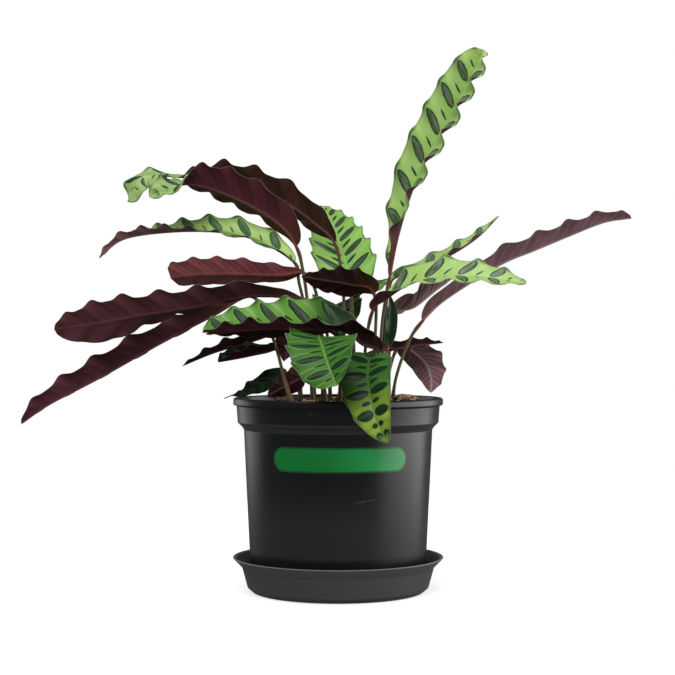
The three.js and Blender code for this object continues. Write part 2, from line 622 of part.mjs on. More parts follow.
function named(name, geometry, material) {
  const mesh = new THREE.Mesh(geometry, material);
  mesh.name = name;
  return mesh;
}

const bladeMaterial = new THREE.MeshStandardMaterial({ color: 0x6f9a3a, roughness: 0.45, metalness: 0 });
const stalkMaterial = new THREE.MeshStandardMaterial({ color: 0x6b5a34, roughness: 0.6, metalness: 0 });
const potMaterial = new THREE.MeshStandardMaterial({ color: 0x17181a, roughness: 0.42, metalness: 0 });
const soilMaterial = new THREE.MeshStandardMaterial({ color: 0x8a6a4a, roughness: 0.95, metalness: 0 });

const plant = new THREE.Group();
for (const [name, leaf] of Object.entries(leaves)) {
  plant.add(named(`blade_${name}`, bladeGeometry(leaf), bladeMaterial.clone()));
  plant.add(named(`stalk_${name}`, stalkGeometry(leaf), stalkMaterial.clone()));
}

const pottedPlant = new THREE.Group();
pottedPlant.add(named('saucer', saucerGeometry(), potMaterial.clone()));
pottedPlant.add(named('pot', potGeometry(), potMaterial.clone()));
pottedPlant.add(named('soil', soilGeometry(Object.values(leaves)), soilMaterial.clone()));
pottedPlant.add(plant);

export default pottedPlant;
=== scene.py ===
import math

import bpy
import numpy as np
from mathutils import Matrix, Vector


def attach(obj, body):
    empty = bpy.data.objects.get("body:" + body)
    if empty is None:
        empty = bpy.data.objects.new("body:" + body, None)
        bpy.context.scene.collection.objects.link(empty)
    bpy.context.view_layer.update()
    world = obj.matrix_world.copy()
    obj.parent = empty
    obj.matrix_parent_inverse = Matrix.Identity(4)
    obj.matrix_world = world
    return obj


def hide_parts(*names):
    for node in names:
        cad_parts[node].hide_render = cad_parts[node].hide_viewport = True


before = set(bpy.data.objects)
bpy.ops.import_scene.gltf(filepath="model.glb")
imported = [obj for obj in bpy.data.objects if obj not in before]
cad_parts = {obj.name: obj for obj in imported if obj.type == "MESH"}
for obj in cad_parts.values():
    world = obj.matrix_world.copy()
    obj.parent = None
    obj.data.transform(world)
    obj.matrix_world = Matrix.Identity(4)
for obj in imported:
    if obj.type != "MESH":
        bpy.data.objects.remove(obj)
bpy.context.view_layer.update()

# A potted rattlesnake plant: waved leaves on thin stalks, a black nursery pot and its saucer.
# Metres, +Z up, the origin under the middle of the saucer, the viewer's side is -Y.
mm = 0.001
scene = bpy.context.scene
scene.view_settings.view_transform = "Standard"


# Camera, floor and light

view = {
    "eye": (-0.5 * mm, -1340 * mm, 205.3 * mm),
    "lens": 88,            # millimetres of focal length on a 36 mm wide sensor
    "sensor": 36,
    "paper": (1.0, 1.0, 1.0),
    "ambient": (0.96, 0.98, 1.0),
    "ambientStrength": 0.12,
    "floorHalf": 0.7,
    "floorDrop": 0.2 * mm,
    "floorGlow": 0.6,
}

# Soft boxes: place, what it looks at, width, height, watts, and whether shiny skins mirror it
softBoxes = {
    "boxRight": ((1.35, 0.0, 0.3), (0.0, 0.0, 0.2), 2.0, 1.0, 18.0, True),
    "boxLeft": ((-1.05, 0.8, 0.35), (0.0, 0.0, 0.2), 0.9, 0.9, 3.0, True),
    "boxTop": ((-0.15, -0.35, 1.55), (0.0, 0.0, 0.25), 1.2, 1.0, 13.0, True),
    "boxFront": ((-0.45, -1.8, 1.0), (0.0, 0.0, 0.3), 0.8, 0.6, 17.0, False),
}


def makeCamera():
    data = bpy.data.cameras.new("photoCamera")
    data.lens = view["lens"]
    data.sensor_width = view["sensor"]
    camera = bpy.data.objects.new("photoCamera", data)
    camera.location = view["eye"]
    camera.rotation_euler = (math.radians(90), 0, 0)
    scene.collection.objects.link(camera)
    scene.camera = camera


def makeSoftBox(name, place, target, width, height, watts, mirrored):
    data = bpy.data.lights.new(name, "AREA")
    data.shape = "RECTANGLE"
    data.size = width
    data.size_y = height
    data.energy = watts
    lamp = bpy.data.objects.new(name, data)
    lamp.location = place
    lamp.visible_glossy = mirrored
    lamp.rotation_mode = "QUATERNION"
    lamp.rotation_quaternion = (Vector(target) - Vector(place)).to_track_quat("-Z", "Y")
    scene.collection.objects.link(lamp)


# The room is white where the camera sees it and dimmer as a source of light
def makeRoom():
    world = bpy.data.worlds.new("studio")
    world.use_nodes = True
    scene.world = world
    nodes = world.node_tree.nodes
    links = world.node_tree.links
    nodes.clear()
    seen = nodes.new("ShaderNodeBackground")
    seen.inputs["Color"].default_value = (*view["paper"], 1)
    seen.inputs["Strength"].default_value = 1.0
    shining = nodes.new("ShaderNodeBackground")
    shining.inputs["Color"].default_value = (*view["ambient"], 1)
    shining.inputs["Strength"].default_value = view["ambientStrength"]
    path = nodes.new("ShaderNodeLightPath")
    mix = nodes.new("ShaderNodeMixShader")
    out = nodes.new("ShaderNodeOutputWorld")
    links.new(path.outputs["Is Camera Ray"], mix.inputs[0])
    links.new(shining.outputs[0], mix.inputs[1])
    links.new(seen.outputs[0], mix.inputs[2])
    links.new(mix.outputs[0], out.inputs[0])


def makeFloor():
    half = view["floorHalf"]
    drop = -view["floorDrop"]
    mesh = bpy.data.meshes.new("paperFloor")
    corners = [(-half, -half, drop), (half, -half, drop), (half, half, drop), (-half, half, drop)]
    mesh.from_pydata(corners, [], [(0, 1, 2, 3)])
    floor = bpy.data.objects.new("paperFloor", mesh)
    scene.collection.objects.link(floor)
    paper = bpy.data.materials.new("whitePaper")
    paper.use_nodes = True
    skin = paper.node_tree.nodes["Principled BSDF"]
    skin.inputs["Base Color"].default_value = (*view["paper"], 1)
    skin.inputs["Roughness"].default_value = 0.9
    skin.inputs["Emission Color"].default_value = (*view["paper"], 1)
    skin.inputs["Emission Strength"].default_value = view["floorGlow"]
    mesh.materials.append(paper)
    floor.visible_diffuse = False
    floor.visible_glossy = False


makeCamera()
makeRoom()
makeFloor()
for boxName, boxFacts in softBoxes.items():
    makeSoftBox(boxName, *boxFacts)
print("camera, room and lights are up")


# Node wrapper: arithmetic on a wire adds Math nodes, and any other node comes from node()

class Wire:
    def __init__(self, tree, socket):
        self.tree = tree
        self.socket = socket

    def node(self, kind, settings=None, values=None, output=0):
        made = self.tree.nodes.new(kind)
        for key, setting in (settings or {}).items():
            if key == "stops":
                fillRamp(made.color_ramp, setting)
            else:
                setattr(made, key, setting)
        for key, value in (values or {}).items():
            if isinstance(value, Wire):
                self.tree.links.new(value.socket, made.inputs[key])
            else:
                made.inputs[key].default_value = value
        return Wire(self.tree, made.outputs[output])

    def math(self, operation, *values):
        return self.node("ShaderNodeMath", {"operation": operation}, dict(enumerate(values)))

    def __add__(self, other):
        return self.math("ADD", self, other)

    def __radd__(self, other):
        return self.math("ADD", other, self)

    def __sub__(self, other):
        return self.math("SUBTRACT", self, other)

    def __rsub__(self, other):
        return self.math("SUBTRACT", other, self)

    def __mul__(self, other):
        return self.math("MULTIPLY", self, other)

    def __rmul__(self, other):
        return self.math("MULTIPLY", other, self)

    def __truediv__(self, other):
        return self.math("DIVIDE", self, other)

    def __pow__(self, other):
        return self.math("POWER", self, other)

    def __abs__(self):
        return self.math("ABSOLUTE", self)

    def fraction(self):
        return self.math("FRACT", self)

    def sine(self):
        return self.math("SINE", self)

    def most(self, other):
        return self.math("MAXIMUM", self, other)

    def least(self, other):
        return self.math("MINIMUM", self, other)

    # 0 below low, 1 above high, with a smooth step between; low above high turns it round
    def step(self, low, high):
        values = {"Value": self, "From Min": low, "From Max": high}
        return self.node("ShaderNodeMapRange", {"interpolation_type": "SMOOTHSTEP"}, values)

    def vector(self, y, z):
        return self.node("ShaderNodeCombineXYZ", None, {0: self, 1: y, 2: z})

    def axes(self):
        made = self.tree.nodes.new("ShaderNodeSeparateXYZ")
        self.tree.links.new(self.socket, made.inputs[0])
        return [Wire(self.tree, output) for output in made.outputs]

    def noise(self, scale, detail=2.0, roughness=0.5):
        values = {"Vector": self, "Scale": scale, "Detail": detail, "Roughness": roughness}
        return self.node("ShaderNodeTexNoise", None, values)


def fillRamp(ramp, stops):
    for place, colour in stops[2:]:
        ramp.elements.new(place)
    for element, (place, colour) in zip(ramp.elements, sorted(stops)):
        element.position = place
        element.color = (*colour, 1)


class Finish:
    # A new material with its Principled shader and what the pieces' attributes give
    def __init__(self, name, roughness=0.5, specular=0.5, coatRoughness=0.2):
        self.material = bpy.data.materials.new(name)
        self.material.use_nodes = True
        self.tree = self.material.node_tree
        self.skin = self.tree.nodes["Principled BSDF"]
        self.set("Roughness", roughness)
        self.set("Specular IOR Level", specular)
        self.set("Coat Roughness", coatRoughness)
        coordinates = self.tree.nodes.new("ShaderNodeTexCoord")
        self.place = Wire(self.tree, coordinates.outputs["Object"])

    def attribute(self, name):
        return self.place.node("ShaderNodeAttribute", {"attribute_name": name}, None, "Fac")

    def set(self, socket, value):
        if isinstance(value, Wire):
            self.tree.links.new(value.socket, self.skin.inputs[socket])
        else:
            self.skin.inputs[socket].default_value = value

    # Colour b over colour a where the factor is 1
    def blend(self, factor, a, b):
        a = a if isinstance(a, Wire) else (*a, 1)
        b = b if isinstance(b, Wire) else (*b, 1)
        settings = {"data_type": "RGBA"}
        return self.place.node("ShaderNodeMix", settings, {"Factor": factor, 6: a, 7: b}, 2)

    # The colour times a brightness wire
    def shade(self, colour, brightness):
        grey = brightness.vector(brightness, brightness)
        settings = {"data_type": "RGBA", "blend_type": "MULTIPLY"}
        return self.place.node("ShaderNodeMix", settings, {"Factor": 1.0, 6: colour, 7: grey}, 2)

    def bump(self, height, strength, distance):
        values = {"Height": height, "Strength": strength, "Distance": distance}
        self.set("Normal", self.place.node("ShaderNodeBump", None, values))


# Mesh helpers

# One mesh object from points, groups of equal-sided faces and float attributes
def makePiece(name, points, faceGroups, attributes=None, sharpAngle=50):
    mesh = bpy.data.meshes.new(name)
    corners = np.concatenate([group.ravel() for group in faceGroups]).astype(np.int32)
    sides = np.concatenate([np.full(len(group), group.shape[1]) for group in faceGroups])
    starts = np.concatenate([[0], np.cumsum(sides)[:-1]]).astype(np.int32)
    mesh.vertices.add(len(points))
    mesh.vertices.foreach_set("co", np.asarray(points, np.float32).ravel())
    mesh.loops.add(len(corners))
    mesh.loops.foreach_set("vertex_index", corners)
    mesh.polygons.add(len(sides))
    mesh.polygons.foreach_set("loop_start", starts)
    mesh.polygons.foreach_set("use_smooth", np.ones(len(sides), bool))
    for key, values in (attributes or {}).items():
        layer = mesh.attributes.new(key, "FLOAT", "POINT")
        layer.data.foreach_set("value", np.asarray(values, np.float32).ravel())
    mesh.update(calc_edges=True)
    mesh.validate()
    mesh.set_sharp_from_angle(angle=math.radians(sharpAngle))
    piece = bpy.data.objects.new(name, mesh)
    scene.collection.objects.link(piece)
    return piece


# Quads from four equal blocks of corner numbers
def quads(a, b, c, d):
    return np.stack([a, b, c, d], axis=-1).reshape(-1, 4)


# Faces of a closed sheet: the upper grid, the lower grid turned over, and the walls round the edge
def sheetFaces(rows, columns):
    upper = np.arange(rows * columns).reshape(rows, columns)
    lower = upper + rows * columns
    return np.concatenate([
        quads(upper[:-1, :-1], upper[:-1, 1:], upper[1:, 1:], upper[1:, :-1]),
        quads(lower[:-1, :-1], lower[1:, :-1], lower[1:, 1:], lower[:-1, 1:]),
        quads(upper[:-1, 0], upper[1:, 0], lower[1:, 0], lower[:-1, 0]),
        quads(upper[1:, -1], upper[:-1, -1], lower[:-1, -1], lower[1:, -1]),
        quads(upper[0, 1:], upper[0, :-1], lower[0, :-1], lower[0, 1:]),
        quads(upper[-1, :-1], upper[-1, 1:], lower[-1, 1:], lower[-1, :-1]),
    ])


# Points and faces of stacked rings closed by a pole at each end. Rings run against the clock as
# seen from where the stations lead to.
def ringBody(rings, firstPole, lastPole):
    stations, sides = rings.shape[:2]
    points = np.concatenate([rings.reshape(-1, 3), [firstPole], [lastPole]])
    at = np.arange(stations * sides).reshape(stations, sides)
    after = np.roll(at, -1, axis=1)
    walls = quads(at[:-1], after[:-1], after[1:], at[1:])
    first = np.full(sides, stations * sides)
    last = first + 1
    caps = np.concatenate([
        np.stack([first, after[0], at[0]], axis=-1),
        np.stack([last, at[-1], after[-1]], axis=-1),
    ])
    return points, [walls, caps]


# Rings of a turned body: each profile point's radius carried round the Z axis
def turnedRings(radii, heights, sides):
    angle = 2 * np.pi * np.arange(sides) / sides
    radii = np.asarray(radii)[:, None]
    x = radii * np.cos(angle)
    y = radii * np.sin(angle)
    z = np.broadcast_to(np.asarray(heights)[:, None], x.shape)
    return np.stack([x, y, z], axis=-1)


# A profile of (radius, height, rounding) with every inner corner replaced by an arc of its rounding
def roundedProfile(corners, arcSteps):
    spots = np.array([corner[:2] for corner in corners], float)
    out = [spots[:1]]
    for i in range(1, len(corners) - 1):
        before = spots[i - 1] - spots[i]
        after = spots[i + 1] - spots[i]
        lengths = np.hypot(*before), np.hypot(*after)
        before = before / lengths[0]
        after = after / lengths[1]
        halfAngle = math.acos(np.clip(np.dot(before, after), -1, 1)) / 2
        reach = corners[i][2] / max(math.tan(halfAngle), 1e-6)
        reach = min(reach, 0.45 * min(lengths))
        radius = reach * math.tan(halfAngle)
        middle = before + after
        if corners[i][2] == 0 or np.hypot(*middle) < 1e-6:
            out.append(spots[i:i + 1])
            continue
        centre = spots[i] + middle / np.hypot(*middle) * radius / math.sin(halfAngle)
        start = spots[i] + before * reach - centre
        end = spots[i] + after * reach - centre
        a0 = math.atan2(start[1], start[0])
        sweep = math.atan2(end[1], end[0]) - a0
        sweep = (sweep + math.pi) % (2 * math.pi) - math.pi
        angles = a0 + sweep * np.linspace(0, 1, arcSteps + 1)
        out.append(centre + radius * np.stack([np.cos(angles), np.sin(angles)], axis=-1))
    out.append(spots[-1:])
    return np.concatenate(out)


def unit(vectors):
    return vectors / np.maximum(np.linalg.norm(vectors, axis=-1, keepdims=True), 1e-9)


# A smooth curve through points at shares 0 to 1: uniform Catmull-Rom, with mirrored end points
def throughPoints(points, share):
    points = np.asarray(points, float)
    spans = len(points) - 1
    padded = np.vstack([2 * points[0] - points[1], points, 2 * points[-1] - points[-2]])
    x = np.clip(share, 0, 1) * spans
    i = np.minimum(x.astype(int), spans - 1)
    w = (x - i)[:, None]
    p0, p1, p2, p3 = padded[i], padded[i + 1], padded[i + 2], padded[i + 3]
    leave = 0.5 * (p2 - p0)
    arrive = 0.5 * (p3 - p1)
    cubic = 2 * p1 - 2 * p2 + leave + arrive
    square = 3 * p2 - 3 * p1 - 2 * leave - arrive
    return cubic * w ** 3 + square * w ** 2 + leave * w + p1


# Pot and saucer

# Corners of each turned profile: radius, height and rounding, in millimetres
pot = {
    "outside": [
        (65.3, 2.3, 0), (70.3, 2.3, 5), (76.4, 131, 1.2), (78.2, 133.6, 2.5), (81.4, 136.6, 2.2),
        (82.4, 150.5, 0.8), (85, 150.7, 1.4), (85, 156.6, 2.6),
    ],
    "inside": [
        (80.9, 156.6, 1.2), (79.6, 138, 2), (75.6, 134.2, 2), (74.6, 131, 2), (68.5, 4.1, 4),
        (12, 4.1, 0),
    ],
    "sides": 224,
    "arcSteps": 6,
    "drainHoles": 8,
    "drainRadius": 6 * mm,
    "drainCircle": 46 * mm,
    "drainSides": 32,
    "drainPlug": (0.5 * mm, 6 * mm),     # heights between which the plugs that cut the holes stand
    "black": (0.0085, 0.0088, 0.0098),
    "dusty": (0.016, 0.016, 0.017),
    "paleSheen": (0.045, 0.045, 0.047),
    "roughness": 0.33,
    # each pair of heights is where the pale colour is none and where it is full: a painted highlight
    # on the step from below and from above, then a painted sheen down the body and over the foot
    "stepHighlightBelow": (130.2 * mm, 131.2 * mm),
    "stepHighlightAbove": (138.5 * mm, 136.8 * mm),
    "bodySheenAbove": (100 * mm, 50 * mm),
    "bodySheenBelow": (31 * mm, 35 * mm),
    "bodySheenShare": 0.5,
}

# The printed lozenge: its middle's angle from the front towards +X, and its half length round the
# pot and half height, measured on the pot's skin
lozenge = {
    "angle": math.radians(1.5),
    "skinRadius": 75.3 * mm,
    "halfLength": 56.7 * mm,
    "halfHeight": 9.75 * mm,
    "height": 110.85 * mm,
    "border": 1.3 * mm,
    "green": (0.008, 0.24, 0.042),
    "greenLitRight": (0.03, 0.38, 0.1),
    "borderGreen": (0.01, 0.12, 0.03),
    "edge": 0.12 * mm,                   # half the soft edge of the ink
    # the green turns brighter towards +X with painted light from the right
    "brighter": (-20 * mm, 45 * mm),     # where along the lozenge the green turns brighter
}

# A pale rub mark low on the front and a small scuff on the collar. Arcs are measured along the pot's
# skin from the lozenge's middle, and each pair is where a mark ends and where it is full.
scuffs = {
    "rubArc": 20 * mm,
    "rubHeight": 79.2 * mm,
    "rubSway": 1.1 * mm,
    "rubSwayLength": 9 * mm,
    "rubLong": (11 * mm, 7 * mm),
    "rubTall": (0.55 * mm, 0.1 * mm),
    "collarArc": -22 * mm,
    "collarHeight": 146 * mm,
    "collarLong": (2.6 * mm, 0.8 * mm),
    "collarTall": (1.2 * mm, 0.2 * mm),
    "collarShare": 0.45,
    "colour": (0.3, 0.3, 0.3),
    "share": 0.45,
}

saucer = {
    "profile": [
        (60, 0, 0), (69, 0, 2.5), (73.4, 3.6, 3), (78, 20, 2.2), (86, 28, 0.7), (83.4, 28, 0.8),
        (76.2, 21.2, 2.6), (71.8, 4.6, 3), (68, 2, 1.5), (50, 2, 0),
    ],
    "sides": 224,
    "arcSteps": 6,
    # the saucer's colours are lighter than the pot's black: a painted reflection of the pale floor on
    # the same black plastic
    "black": (0.09, 0.09, 0.096),
    "dusty": (0.115, 0.115, 0.12),
    "paleSheen": (0.2, 0.2, 0.21),
    "shaded": (0.02, 0.02, 0.022),
    "roughness": 0.42,
    "flare": (19.5 * mm, 21 * mm),           # heights between which the wall turns out into the lip
    "lipEdge": (27.3 * mm, 27.8 * mm),
    "lipInside": (84.7 * mm, 84.2 * mm),     # radius of the lip's inner slope, carried up to 28 mm
    "insideFrom": (20.5 * mm, 21.5 * mm),
    "insideDark": (28.2 * mm, 26 * mm),
}


# A painted highlight on the pot's step and a painted sheen low on its body, the green lozenge, and the
# scuffs. The lozenge is every place closer than its half height to a straight middle line, measured
# along the skin.
def potSheenAndWear(finish, colour, rough):
    x, y, z = finish.place.axes()
    # painted highlight on the step's shoulder and painted sheen low on the body, stopping above the
    # foot
    onStep = z.step(*pot["stepHighlightBelow"]) * z.step(*pot["stepHighlightAbove"])
    onBody = z.step(*pot["bodySheenAbove"]) * z.step(*pot["bodySheenBelow"])
    sheenMask = (onStep + onBody * pot["bodySheenShare"]).least(1.0)
    colour = finish.blend(sheenMask, colour, pot["paleSheen"])

    angle = x.node("ShaderNodeMath", {"operation": "ARCTAN2"}, {0: x, 1: 0 - y})
    arc = (angle - lozenge["angle"]) * lozenge["skinRadius"]
    straight = lozenge["halfLength"] - lozenge["halfHeight"]
    overEnd = (abs(arc) - straight).most(0.0)
    level = z - lozenge["height"]
    outline = (overEnd * overEnd + level * level) ** 0.5 - lozenge["halfHeight"]
    edge = lozenge["edge"]
    ink = outline.step(edge, -edge)
    inner = (outline + lozenge["border"]).step(edge, -edge)
    front = y.step(0.0, -1 * mm)
    # painted light: the lozenge's green brightens towards the right
    green = finish.blend(arc.step(*lozenge["brighter"]), lozenge["green"], lozenge["greenLitRight"])
    green = finish.blend(inner, lozenge["borderGreen"], green)
    colour = finish.blend(ink * front, colour, green)
    rough = rough - 0.04 * ink * front

    alongRub = arc - scuffs["rubArc"]
    sway = scuffs["rubSway"] * (alongRub / scuffs["rubSwayLength"]).sine()
    overRub = z - (scuffs["rubHeight"] + sway)
    rub = abs(overRub).step(*scuffs["rubTall"]) * abs(alongRub).step(*scuffs["rubLong"])
    alongCollar = arc - scuffs["collarArc"]
    overCollar = z - scuffs["collarHeight"]
    scuff = abs(alongCollar).step(*scuffs["collarLong"]) * abs(overCollar).step(*scuffs["collarTall"])
    crumbs = finish.place.noise(900, 2.0).step(0.38, 0.6)
    marks = (rub + scuff * scuffs["collarShare"]) * front * crumbs
    colour = finish.blend(marks * scuffs["share"], colour, scuffs["colour"])
    return colour, rough + 0.15 * marks


# The saucer's lip is dark with painted shade inside, near the pot, and pale with painted light
# underneath and a painted highlight at its edge
def saucerShadeAndSheen(finish, colour, rough):
    x, y, z = finish.place.axes()
    radius = (x * x + y * y) ** 0.5
    inside = (radius + (28 * mm - z)).step(*saucer["lipInside"]) * z.step(*saucer["insideFrom"])
    # painted light on the lip, which faces down
    colour = finish.blend(z.step(*saucer["flare"]) * 0.35, colour, saucer["paleSheen"])
    # painted shade inside the lip near the pot
    colour = finish.blend(inside * z.step(*saucer["insideDark"]), colour, saucer["shaded"])
    # painted highlight along the lip's edge
    colour = finish.blend(z.step(*saucer["lipEdge"]), colour, saucer["paleSheen"])
    return colour, rough


# Black plastic with dusty clouds and a fine grain, and then its own wear and painted light
def plasticFinish(name, facts, sheenAndWear):
    finish = Finish(name, specular=0.5)
    grain = finish.place.noise(1400, 2.0, 0.6)
    cloud = finish.place.noise(28, 3.0, 0.55)
    colour = finish.blend(cloud.step(0.45, 0.8) * 0.35, facts["black"], facts["dusty"])
    rough = facts["roughness"] + 0.1 * (cloud - 0.5) + 0.06 * (grain - 0.5)
    colour, rough = sheenAndWear(finish, colour, rough)
    finish.set("Base Color", colour)
    finish.set("Roughness", rough)
    finish.bump(grain + cloud * 0.6, 0.12, 0.12 * mm)
    return finish.material


# A turned shell from its outline: the first and last outline points close over the axis
def turnedShell(name, corners, sides, arcSteps):
    profile = roundedProfile(corners, arcSteps) * mm
    rings = turnedRings(profile[:, 0], profile[:, 1], sides)
    firstPole = (0, 0, profile[0, 1])
    lastPole = (0, 0, profile[-1, 1])
    return makePiece(name, *ringBody(rings, firstPole, lastPole), sharpAngle=40)


# Drainage holes, cut out of the pot's floor by short round plugs
def cutDrainHoles(shell):
    sides = pot["drainSides"]
    bottom, top = pot["drainPlug"]
    angle = 2 * np.pi * np.arange(sides) / sides
    circle = np.stack([np.cos(angle), np.sin(angle)], axis=-1) * pot["drainRadius"]
    plugPoints = []
    plugWalls = []
    plugCaps = []
    for k in range(pot["drainHoles"]):
        bearing = 2 * math.pi * (k + 0.5) / pot["drainHoles"]
        centre = pot["drainCircle"] * np.array([math.cos(bearing), math.sin(bearing)])
        rings = np.zeros((2, sides, 3))
        rings[..., :2] = centre + circle
        rings[0, :, 2] = bottom
        rings[1, :, 2] = top
        points, (walls, caps) = ringBody(rings, (*centre, bottom), (*centre, top))
        shift = sum(len(group) for group in plugPoints)
        plugPoints.append(points)
        plugWalls.append(walls + shift)
        plugCaps.append(caps + shift)
    faceGroups = [np.concatenate(plugWalls), np.concatenate(plugCaps)]
    plugs = makePiece("drainPlugs", np.concatenate(plugPoints), faceGroups)
    cut = shell.modifiers.new("drainHoles", "BOOLEAN")
    cut.operation = "DIFFERENCE"
    cut.object = plugs
    cut.solver = "EXACT"
    made = shell.evaluated_get(bpy.context.evaluated_depsgraph_get())
    mesh = bpy.data.meshes.new_from_object(made)
    shell.modifiers.clear()
    shell.data = mesh
    bpy.data.objects.remove(plugs)


potShell = turnedShell("potShell", pot["outside"] + pot["inside"], pot["sides"], pot["arcSteps"])
cutDrainHoles(potShell)
potShell.data.materials.append(plasticFinish("potPlastic", pot, potSheenAndWear))
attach(potShell, "root")
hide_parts("pot")

saucerShell = turnedShell("saucerShell", saucer["profile"], saucer["sides"], saucer["arcSteps"])
saucerShell.data.materials.append(plasticFinish("saucerPlastic", saucer, saucerShadeAndSheen))
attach(saucerShell, "root")
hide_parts("saucer")
print("pot and saucer are made")


# Soil and bark

soil = {
    # (radius, height) from the bottom's middle up the pot's wall, in millimetres
    "wall": [(64.3, 4.4), (68.05, 7.3), (74.15, 131), (75.15, 135), (79.1, 139), (79.85, 149.5)],
    # (radius, height) of the top from the wall inwards
    "top": [(79.85, 149.5), (66, 151.5), (40, 153.5), (0, 154.5)],
    "topRings": 64,
    "innerRing": 1.5 * mm,
    "sides": 168,
    "lumpHeight": 0.27 * mm,
    "lumpWaves": 26,
    "levelFrom": 79.5 * mm,        # the lumps fade out towards this radius
    "levelOver": 6 * mm,
    "seed": 11,
    # a mound at the right that shows over the rim: x, y, spread and height
    "mound": (55 * mm, -6 * mm, 15 * mm, 3.2 * mm),
}

bark = {
    "count": 520,
    "moundCount": 70,
    "moundShare": 0.75,            # how far along X its chips spread, in shares of the mound
    "smallest": 1.0 * mm,
    "largest": 4.2 * mm,
    "reach": 77 * mm,
    "smallPower": 2.2,             # above 1, small chips outnumber large ones
    "moundSmallest": 2.2 * mm,
    "wallRadius": 80.5 * mm,       # no chip reaches past this
    "length": (0.8, 1.15),         # a chip's three measures, in shares of its size
    "width": (0.55, 0.9),
    "height": (0.35, 0.7),
    "jitter": (0.72, 1.18),
    "turn": (1.0, 0.28, 0.28, 1.0),    # weights of a random turn's four numbers: most chips lie flat
    "lift": 0.22,                  # height of a chip's middle over the soil, in shares of its size
    "moundLift": 1.4 * mm,
    "seed": 23,
}


# Height of the soil's top at x, y: the profile's height, the mound, and a sum of random slow and
# quick plane waves that fades out towards the wall
def soilHeight(x, y):
    radius = np.hypot(x, y)
    top = np.array(soil["top"]) * mm
    height = np.interp(radius, top[::-1, 0], top[::-1, 1])
    moundX, moundY, spread, rise = soil["mound"]
    height = height + rise * np.exp(-((x - moundX) ** 2 + (y - moundY) ** 2) / (2 * spread ** 2))
    draws = np.random.default_rng(soil["seed"])
    lumps = 0
    for k in range(soil["lumpWaves"]):
        turnsPerMetre = 18 * 1.13 ** k
        bearing, start = draws.uniform(0, 2 * np.pi, 2)
        wave = np.sin(2 * np.pi * turnsPerMetre * (x * np.cos(bearing) + y * np.sin(bearing)) + start)
        lumps = lumps + wave / (1 + 0.12 * k)
    fade = np.clip((soil["levelFrom"] - radius) / soil["levelOver"], 0, 1)
    return height + soil["lumpHeight"] * lumps * fade


def soilBody():
    wall = np.array(soil["wall"]) * mm
    top = np.array(soil["top"]) * mm
    radii = np.linspace(top[0, 0], soil["innerRing"], soil["topRings"])[1:]
    heights = np.zeros_like(radii)
    allRadii = np.concatenate([wall[:, 0], radii])
    allHeights = np.concatenate([wall[:, 1], heights])
    rings = turnedRings(allRadii, allHeights, soil["sides"])
    surface = rings[len(wall):]
    surface[..., 2] = soilHeight(surface[..., 0], surface[..., 1])
    middle = (0, 0, float(soilHeight(np.zeros(1), np.zeros(1))[0]))
    return makePiece("soilBody", *ringBody(rings, (0, 0, wall[0, 1]), middle), sharpAngle=60)


# The twenty-sided lump that every chip starts from
def twentySided():
    golden = (1 + 5 ** 0.5) / 2
    points = np.array([
        (-1, golden, 0), (1, golden, 0), (-1, -golden, 0), (1, -golden, 0),
        (0, -1, golden), (0, 1, golden), (0, -1, -golden), (0, 1, -golden),
        (golden, 0, -1), (golden, 0, 1), (-golden, 0, -1), (-golden, 0, 1),
    ])
    faces = np.array([
        (0, 11, 5), (0, 5, 1), (0, 1, 7), (0, 7, 10), (0, 10, 11), (1, 5, 9), (5, 11, 4), (11, 10, 2),
        (10, 7, 6), (7, 1, 8), (3, 9, 4), (3, 4, 2), (3, 2, 6), (3, 6, 8), (3, 8, 9), (4, 9, 5),
        (2, 4, 11), (6, 2, 10), (8, 6, 7), (9, 8, 1),
    ])
    return unit(points), faces


# Rotation matrices from rows of four random numbers taken as unit quaternions
def spins(rows):
    w, x, y, z = unit(rows).T
    return np.stack([
        np.stack([1 - 2 * (y * y + z * z), 2 * (x * y - z * w), 2 * (x * z + y * w)], axis=-1),
        np.stack([2 * (x * y + z * w), 1 - 2 * (x * x + z * z), 2 * (y * z - x * w)], axis=-1),
        np.stack([2 * (x * z - y * w), 2 * (y * z + x * w), 1 - 2 * (x * x + y * y)], axis=-1),
    ], axis=1)


